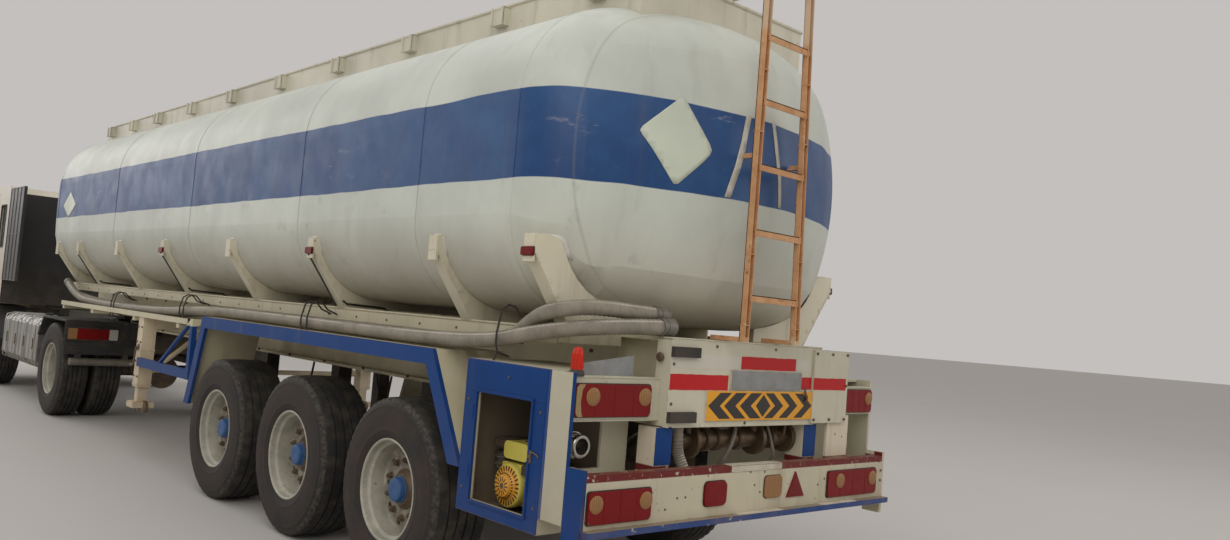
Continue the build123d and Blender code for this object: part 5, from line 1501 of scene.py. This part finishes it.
# engine: rocker covers, sump, fan, belt, filter and pipes, seen when the cab is tilted
for k in range(6):
    x = 12760 + k * 175
    s.prism("z", 1138, 1176, rrect(x, x + 150, -120, 110, 18, 4), 0)
    for dy in (-90, 80):
        s.nut((x + 75, dy, 1176), (0, 0, 1), 12, 10, 1)
s.tube([(12740, -210, 1120), (12760, -230, 1160), (12840, -240, 1165), (13700, -240, 1165)], 34, 18, 2)
for k in range(6):
    x = 12830 + k * 175
    s.tube([(x, -236, 1160), (x, -180, 1164), (x, -118, 1152)], 22, 14, 2)
s.lathe((13080, 250, 1140), (0, 0, 1), [(0, 60), (6, 66), (60, 66), (70, 60), (84, 30), (86, 0)], 36, 3)
s.lathe((13350, 240, 1138), (0, 0, 1), [(0, 44), (90, 44), (96, 38), (98, 0)], 32, 1)
s.lathe((13952, 0, 900), (1, 0, 0), [(0, 90), (20, 92), (24, 60), (50, 58), (54, 0)], 40, 3)
for k in range(9):
    s.t = Matrix.Translation((13990, 0, 900)) @ Matrix.Rotation(2 * pi * k / 9, 4, "X")
    s.slab([(0, -20, 50), (24, 34, 50), (28, 46, 225), (-4, -34, 225)], (4, -2, 0), 3)
s.t = Matrix.Identity(4)
for y in (-150, 150):
    for k in range(9):
        s.box(11560 + k * 100, 11585 + k * 100, y - 60, y + 60, 999, 1008, 0)
s.make("engine_fittings", "tractor", ["grey", "bolt", "dark", "plastic"], bevel=1.5)

s = Shape()
# grease grooves, bolts and jaw cover of the fifth wheel
for x, y in ((9640, 330), (9640, -330), (10080, 380), (10080, -380), (10250, 180), (10250, -180)):
    s.lathe((x, y, 1193), (0, 0, 1), [(0, 22), (2, 20), (2.5, 0)], 20, 0)
for sgn in (1, -1):
    for x in (9660, 9760, 10040, 10140):
        s.nut((x, sgn * 415, 1052), (0, 0, 1), 13, 12, 0, 4)
    s.rod((9900, sgn * 282, 1100), (9900, sgn * 440, 1100), 24, 20, 0, 3)
    s.box(9790, 10010, sgn * 430, sgn * 438, 1060, 1140, 1)
s.make("fifth_wheel_fittings", "tractor", ["bolt", "dark"], bevel=1)


# ------------------------------------------------------------------ cab
SL = Vector((14440 - 14120, 0, 1900 - 2760)).normalized()
SN = Vector((-SL.z, 0, SL.x))


def scr(a, y, o):
    """Point on the windscreen's slope: down from the roof edge, across, outward."""
    q = Vector((14120, 0, 2760)) + SL * a + SN * o
    return (q.x, y, q.z)


s = Shape()
loop = []
for u, v in rrect(70, 850, -1090, 1090, 40, 6):
    loop.append(scr(u, v, 0))
s.tube(loop, 13, 10, 0, closed=True)
for y0, y1 in ((-560, 560),):
    s.tube([(12449, y, z) for y, z in rrect(y0, y1, 2000, 2500, 40, 5)], 12, 10, 0, closed=True)
for sgn in (1, -1):
    s.tube([(x, sgn * 1231, z) for x, z in rrect(12640, 12960, 1960, 2560, 30, 5)], 10, 10, 0, closed=True)
# wipers
for y, b in ((-420, 1), (480, 1)):
    s.lathe(scr(872, y, 4), SN, [(0, 20), (14, 20), (18, 14), (22, 0)], 20, 0)
    s.tube([scr(872, y, 20), scr(640, y + 70, 30), scr(420, y + 150, 24)], 7, 10, 0)
    s.tube([scr(760, y + 20, 10), scr(420, y + 150, 16), scr(120, y + 270, 10)], 8, 8, 0)
# sun visor, roof markers, grille with its slats
for k in range(5):
    y = -800 + k * 400
    s.prism("z", 2826, 2858, rrect(13880, 13960, y - 45, y + 45, 18, 4), 3)
s.slab([scr(30, -1100, 40), scr(30, 1100, 40), scr(-60, 1100, 140), scr(-60, -1100, 140)], (4, 0, 5), 0)
for y in (-900, 0, 900):
    s.slab([scr(20, y - 10, 0), scr(20, y + 10, 0), scr(-40, y + 10, 120), scr(-40, y - 10, 120)], (-8, 0, -6), 0)
s.prism("x", 14449, 14452, rrect(-760, 760, 1200, 1660, 40, 5), 0)
for k in range(8):
    z = 1216 + k * 54
    s.prism("x", 14452, 14464, rrect(-744, 744, z, z + 30, 8, 3), 1)
s.prism("x", 14449, 14457, rrect(-980, 980, 1730, 1860, 24, 4), 0)
for sgn in (1, -1):
    s.prism("x", 14449, 14456, rrect(*sorted((sgn * 830, sgn * 1160)), 940, 1150, 30, 5), 2)
    s.box(14225, 14405, *sorted((sgn * 1229, sgn * 1233)), 1000, 1160, 0)
s.make("cab_front_trim", "cab", ["plastic", "cab", "plastic_grey", "amber"], bevel=2)

for sgn, lab in ((1, "left"), (-1, "right")):
    s = Shape()
    s.tube([(x, sgn * 1231, z) for x, z in ((13240, 1960), (14050, 1960), (13860, 2560), (13800, 2600), (13240, 2600))], 9, 10, 0, closed=True)
    s.box(13176, 13334, *sorted((sgn * 1228, sgn * 1232)), 1786, 1844, 0)
    s.prism("y", *sorted((sgn * 1240, sgn * 1250)), rrect(13184, 13326, 1802, 1828, 10, 4), 1)
    s.lathe((13300, sgn * 1230, 1760), (0, sgn, 0), [(0, 14), (4, 12), (5, 0)], 18, 2)
    s.box(13260, 13990, *sorted((sgn * 1186, sgn * 1174)), 1880, 1940, 1)
    s.prism("y", *sorted((sgn * 1189, sgn * 1172)), rrect(13180, 14120, 1290, 1930, 60, 6), 3)
    s.box(13420, 13800, *sorted((sgn * 1174, sgn * 1120)), 1640, 1690, 1)
    s.make("door_trim_" + lab, "door_" + lab, ["rubber", "plastic", "bolt", "trim"], bevel=2)
    s = Shape()
    ya, yb = sorted((sgn * 1312, sgn * 1440))
    s.prism("x", 14231, 14236, rrect(ya, yb, 1975, 2385, 24, 5), 1)
    ya, yb = sorted((sgn * 1302, sgn * 1450))
    s.prism("x", 14236, 14292, rrect(ya, yb, 1961, 2399, 34, 6), 0)
    s.prism("x", 14290, 14300, rrect(ya + 12, yb - 12, 1976, 2384, 30, 6), 0)
    for z in (2003, 2345):
        s.tube([(14254, sgn * 1226, z), (14254, sgn * 1262, z + 3), (14254, sgn * 1306, z)], 14, 14, 0)
        s.lathe((14254, sgn * 1230, z), (0, sgn, 0), [(0, 30), (6, 28), (10, 16), (12, 0)], 24, 0)
    s.make("mirror_" + lab, "cab", ["plastic", "mirror"], bevel=2, replaces=("mirrors",))
    s = Shape()
    ya, yb = sorted((sgn * 1226, sgn * 1235))
    for x in (11654, 11850, 12050, 12250, 12446):
        s.tube([(x, sgn * 1231, 1506), (x, sgn * 1231, 2774)], 6, 8, 0)
    for z in (1504, 2140, 2776):
        s.tube([(11654, sgn * 1231, z), (12446, sgn * 1231, z)], 5, 8, 0)
    for z in (1700, 2500):
        s.rod((12440, sgn * 1205, z), (12470, sgn * 1205, z), 12, 12, 0)
    s.make("fairing_trim_" + lab, "cab", "fairing", bevel=0)


def cushion(s, x0, x1, y0, y1, z0, z1, mat=0, e=0.28, n=14, m=28, shear=0.0):
    """Stuffed block: a soft superellipsoid with flat sides and full corners."""
    cx, cy, cz = (x0 + x1) / 2, (y0 + y1) / 2, (z0 + z1) / 2
    ax, ay, az = (x1 - x0) / 2, (y1 - y0) / 2, (z1 - z0) / 2

    def pw(v, k):
        return math.copysign(abs(v) ** k, v)
    verts, rows = [], []
    for i in range(n + 1):
        t = -pi / 2 + pi * i / n
        row = []
        for k in range(m):
            if i in (0, n) and k:
                row.append(row[0])
                continue
            a = 2 * pi * k / m
            ct, st = pw(math.cos(t), e), pw(math.sin(t), e)
            x, y, z = ax * ct * pw(math.cos(a), e), ay * ct * pw(math.sin(a), e), az * st
            row.append(len(verts))
            verts.append((cx + x + shear * z, cy + y, cz + z))
        rows.append(row)
    faces = []
    for i in range(n):
        for k in range(m):
            q = [rows[i][k], rows[i][(k + 1) % m], rows[i + 1][(k + 1) % m], rows[i + 1][k]]
            q = list(dict.fromkeys(q))
            if len(q) > 2:
                faces.append(q)
    s.add(verts, faces, mat)


for sgn, lab in ((1, "left"), (-1, "right")):
    yc = sgn * 600.0
    s = Shape()
    cushion(s, 12990, 13500, yc - 150, yc + 150, 1490, 1615)
    cushion(s, 12995, 13505, yc - 252, yc - 140, 1500, 1640)
    cushion(s, 12995, 13505, yc + 140, yc + 252, 1500, 1640)
    o1 = s.make("seat_base_" + lab, "cab", "cloth", angle=70)
    s = Shape()
    cushion(s, 12860, 12985, yc - 150, yc + 150, 1590, 2120, shear=-0.13)
    cushion(s, 12850, 13000, yc - 245, yc - 135, 1600, 2110, shear=-0.13)
    cushion(s, 12850, 13000, yc + 135, yc + 245, 1600, 2110, shear=-0.13)
    o2 = s.make("seat_back_" + lab, "cab", "cloth", angle=70)
    s = Shape()
    cushion(s, 12800, 12900, yc - 140, yc + 140, 2150, 2320, shear=-0.1)
    o3 = s.make("headrest_" + lab, "cab", "cloth", angle=70)
    s = Shape()
    for dy in (-60, 60):
        s.rod((12868, yc + dy, 2100), (12858, yc + dy, 2180), 7, 12, 0)
    s.box(13050, 13450, yc - 175, yc + 175, 1222, 1236, 1)
    s.prism("y", yc - 160, yc + 160, [(13080, 1236), (13420, 1236), (13380, 1370), (13420, 1490), (13060, 1490), (13110, 1370)], 1)
    for k in range(5):
        z = 1262 + k * 44
        s.tube([(13090, yc - 165, z), (13400, yc - 165, z), (13400, yc + 165, z), (13090, yc + 165, z)], 10, 8, 2, closed=True)
    s.prism("y", yc - 262, yc - 250, rrect(13000, 13360, 1380, 1500, 30, 4), 1)
    s.make("seat_stand_" + lab, "cab", ["bolt", "plastic", "rubber"], bevel=1.5)
s = Shape()
s.prism("y", -1180, 1180, [(14062, 1545), (14140, 1500), (14388, 1482), (14388, 1776), (14200, 1806), (14152, 1800)], 0)
s.prism("y", 360, 850, [(14120, 1780), (14190, 1905), (14330, 1890), (14350, 1780)], 0)
s.t = Matrix.Identity(4)
for y, r in ((480, 52), (610, 62), (740, 52)):
    s.lathe((14133, y, 1838), (-0.87, 0, 0.46), [(0, r), (8, r), (10, r - 6), (4, r - 8), (4, 0)], 32, 2)
    s.box(14122, 14128, y - 3, y + 3, 1836, 1836 + r * 0.7, 3)
for k in range(8):
    s.prism("y", -180 + k * 60, -140 + k * 60, [(14072, 1590), (14062, 1592), (14082, 1640), (14092, 1638)], 2)
s.prism("y", -240, 320, [(14096, 1670), (14088, 1672), (14108, 1728), (14118, 1724)], 1)
for y in (-900, -420, 1000):
    s.prism("y", y - 70, y + 70, [(14122, 1740), (14112, 1742), (14126, 1778), (14136, 1776)], 2)
s.prism("z", 1438, 1452, rrect(12500, 13890, -276, 276, 50, 6), 1)
s.prism("z", 1216, 1224, rrect(12500, 14400, -1170, 1170, 20, 3), 4)
s.rod((13775, 600, 1873 - 45), (14130, 600, 1262), 31, 24, 2, 4)
s.tube([(13960, 560, 1560), (13930, 470, 1600), (13920, 420, 1615)], 8, 10, 2)
for y in (480, 700, 800):
    s.prism("y", y - 28, y + 28, [(14100, 1240), (14108, 1240), (14150, 1360), (14140, 1364)], 4)
s.make("cab_inside", "cab", ["trim", "plastic", "plastic", "amber", "rubber"], bevel=3, replaces=("cab_interior",))
s = Shape()
C, A = Vector((13800, 600, 1830)), Vector((-0.5, 0, 0.8660254))
s.lathe(C, A, [(-13 * math.cos(2 * pi * k / 14) if False else 14 * math.sin(2 * pi * k / 14), 215 + 14 * math.cos(2 * pi * k / 14)) for k in range(14)], 72, 0, closed=True)
s.lathe(C - A * 34, A, [(0, 44), (22, 46), (34, 40), (38, 20), (38, 0)], 36, 0)
_, U, W = axes(A)
for deg in (0, 120, 240):
    t = math.radians(deg)
    d0 = U * math.cos(t) + W * math.sin(t)
    s.tube([tuple(C - A * 18 + d0 * 36), tuple(C - A * 14 + d0 * 120), tuple(C + d0 * 206)], 12, 12, 0)
s.make("steering_wheel_rim", "steering_wheel", "plastic", angle=60, replaces=("steering_wheel",))

# ------------------------------------------------------------------ trailer underneath and front
s = Shape()
for x in (1700, 3010, 4320):
    for sgn in (1, -1):
        s.lathe((x + 90, sgn * 400, 640), (1, 0, 0), [(0, 60), (6, 74), (50, 78), (54, 84), (62, 84), (66, 78), (120, 74), (140, 40), (142, 0)], 36, 0)
        s.rod((x + 92, sgn * 400, 640), (x + 30, sgn * 400, 600), 10, 10, 1)
        for dx in (-62, 62):
            s.tube([(x + dx, sgn * 498, 440), (x + dx, sgn * 498, 700), (x + dx, sgn * 602, 700), (x + dx, sgn * 602, 440)], 10, 10, 1)
        for z in (444,):
            for y in (498, 602):
                for dx in (-62, 62):
                    s.nut((x + dx, sgn * y, z), (0, 0, -1), 15, 14, 1, 8)
        s.tube([(x + 230, sgn * 400, 640), (x + 300, sgn * 380, 700), (x + 320, sgn * 330, 860), (x + 330, sgn * 300, 1050)], 9, 8, 2)
for x in range(700, 10000, 620):
    for sgn in (1, -1):
        for z in (1120, 1440):
            s.nut((x, sgn * 631, z), (0, sgn, 0), 12, 10, 1, 4)
s.tube([(700, 300, 1180), (3000, 305, 1178), (6000, 300, 1180), (10100, 300, 1190)], 10, 8, 2)
s.tube([(700, -300, 1180), (3000, -305, 1178), (6000, -300, 1180), (10100, -300, 1190)], 10, 8, 2)
s.make("trailer_under", "trailer", ["dark", "bolt", "rubber"], bevel=0)
s = Shape()
for lx in (2870, 5830, 8600):
    for sgn in (1, -1):
        s.tube([(lx + 46, sgn * 1264, 1896), (lx + 60, sgn * 1240, 1868), (lx + 62, sgn * 1170, 1772), (lx + 62, sgn * 1020, 1562)], 6, 8, 0)
        s.tube([(lx - 8, sgn * 1010, 1600), (lx - 9, sgn * 980, 1580), (lx - 9, sgn * 780, 1573), (lx - 10, sgn * 690, 1568), (lx - 14, sgn * 670, 1545)], 7, 8, 0)
s.make("marker_cables", "trailer", "rubber")
s = Shape()
for sgn in (1, -1):
    # rolled edge of the side rails
    s.rod((575, sgn * 984, 1549), (9900, sgn * 984, 1549), 8, 10, 0)
    for x in range(700, 9900, 400):
        s.lathe((x, sgn * 985, 1500), (0, sgn, 0), [(0, 9), (3, 8), (4, 0)], 12, 1)
s.make("rail_edges", "trailer", ["cream", "bolt"], bevel=0)

LEG_Y = 1140.0
s = Shape()
for sgn in (1, -1):
    yl = sgn * LEG_Y
    for z in (660, 980):
        s.box(6334, 6486, *sorted((yl - 66, yl + 66)), z, z + 14, 0)
    s.box(6326, 6494, *sorted((yl - 92, yl + 84)), 498, 506, 0)
    for k in (-1, 1):
        for z in (740, 880, 1060, 1200):
            s.nut((6410 + k * 50, yl + sgn * 60, z), (0, sgn, 0), 10, 9, 1, 4)
        s.lathe((6410 + k * 62, yl - 44, 458), (0, 1, 0), [(0, 20), (2, 52), (10, 56), (34, 56), (40, 52), (46, 20)], 32, 1)
    s.rod((6340, yl, 470), (6480, yl, 470), 12, 12, 1)
s.lathe((6410, 1200, 1010), (0, 1, 0), [(0, 34), (8, 32), (12, 16), (18, 14), (18, 0)], 24, 1)
s.tube([(6410, 1214, 1010), (6416, 1222, 1004), (6424, 1226, 900), (6428, 1228, 850), (6440, 1232, 840), (6500, 1236, 838)], 9, 12, 1)
s.make("landing_gear_fittings", "trailer", ["leg", "bolt"], bevel=1.5)

# ------------------------------------------------------------------ camera, floor, light
cam = bpy.data.cameras.new("photo_camera")
cam.lens = 28.23
cam.sensor_width = 36.0
cam.sensor_fit = "HORIZONTAL"
cam.clip_end = 500
yaw, pitch, roll = -0.7482, 0.0524, 0.0802
fw = Vector((math.cos(pitch) * math.cos(yaw), math.cos(pitch) * math.sin(yaw), math.sin(pitch)))
right = Vector((math.sin(yaw), -math.cos(yaw), 0))
up = right.cross(fw)
r2 = right * math.cos(roll) + up * math.sin(roll)
u2 = up * math.cos(roll) - right * math.sin(roll)
camo = bpy.data.objects.new("photo_camera", cam)
camo.matrix_world = Matrix(((r2.x, u2.x, -fw.x, -10.4386), (r2.y, u2.y, -fw.y, 4.1626),
                            (r2.z, u2.z, -fw.z, 1.6119), (0, 0, 0, 1)))
bpy.context.scene.collection.objects.link(camo)
bpy.context.scene.camera = camo

fb = bmesh.new()
for k in range(64):
    a = 2 * pi * k / 64
    fb.verts.new((120 * math.cos(a), 120 * math.sin(a), 0.0))
fb.faces.new(fb.verts[:])
fm = bpy.data.meshes.new("floor")
fb.to_mesh(fm)
fb.free()
g = Graph("floor_plain")
fm.materials.append(g.done(g.mix(g.ramp(g.noise(0.4, 3.0), 0.3, 0.7), srgb(190, 187, 182), srgb(192, 189, 184)), 0.8))
floor = bpy.data.objects.new("floor", fm)
bpy.context.scene.collection.objects.link(floor)

world = bpy.data.worlds.new("soft_sky")
world.use_nodes = True
bg = world.node_tree.nodes["Background"]
bg.inputs[0].default_value = srgb(226, 222, 220)
bg.inputs[1].default_value = 0.72
bpy.context.scene.world = world
bpy.context.scene.view_settings.view_transform = "Standard"


def area(name, loc, target, size, power, color=(1, 1, 1)):
    l = bpy.data.lights.new(name, "AREA")
    l.shape = "DISK"
    l.size = size
    l.energy = power
    l.color = color
    o = bpy.data.objects.new(name, l)
    d = Vector(target) - Vector(loc)
    o.matrix_world = Matrix.Translation(loc) @ d.to_track_quat("-Z", "Y").to_matrix().to_4x4()
    bpy.context.scene.collection.objects.link(o)


area("key", (-12, 9, 9), (-2, 0, 1.8), 11, 530, (1.0, 0.96, 0.92))
area("top", (0, 0, 14), (0, 0, 0), 18, 590, (0.97, 0.98, 1.0))
area("fill", (-14, -9, 6), (-4, 0, 1.5), 9, 190, (1.0, 0.94, 0.90))
area("front", (16, 6, 7), (5, 0, 1.5), 9, 400, (1.0, 0.97, 0.95))
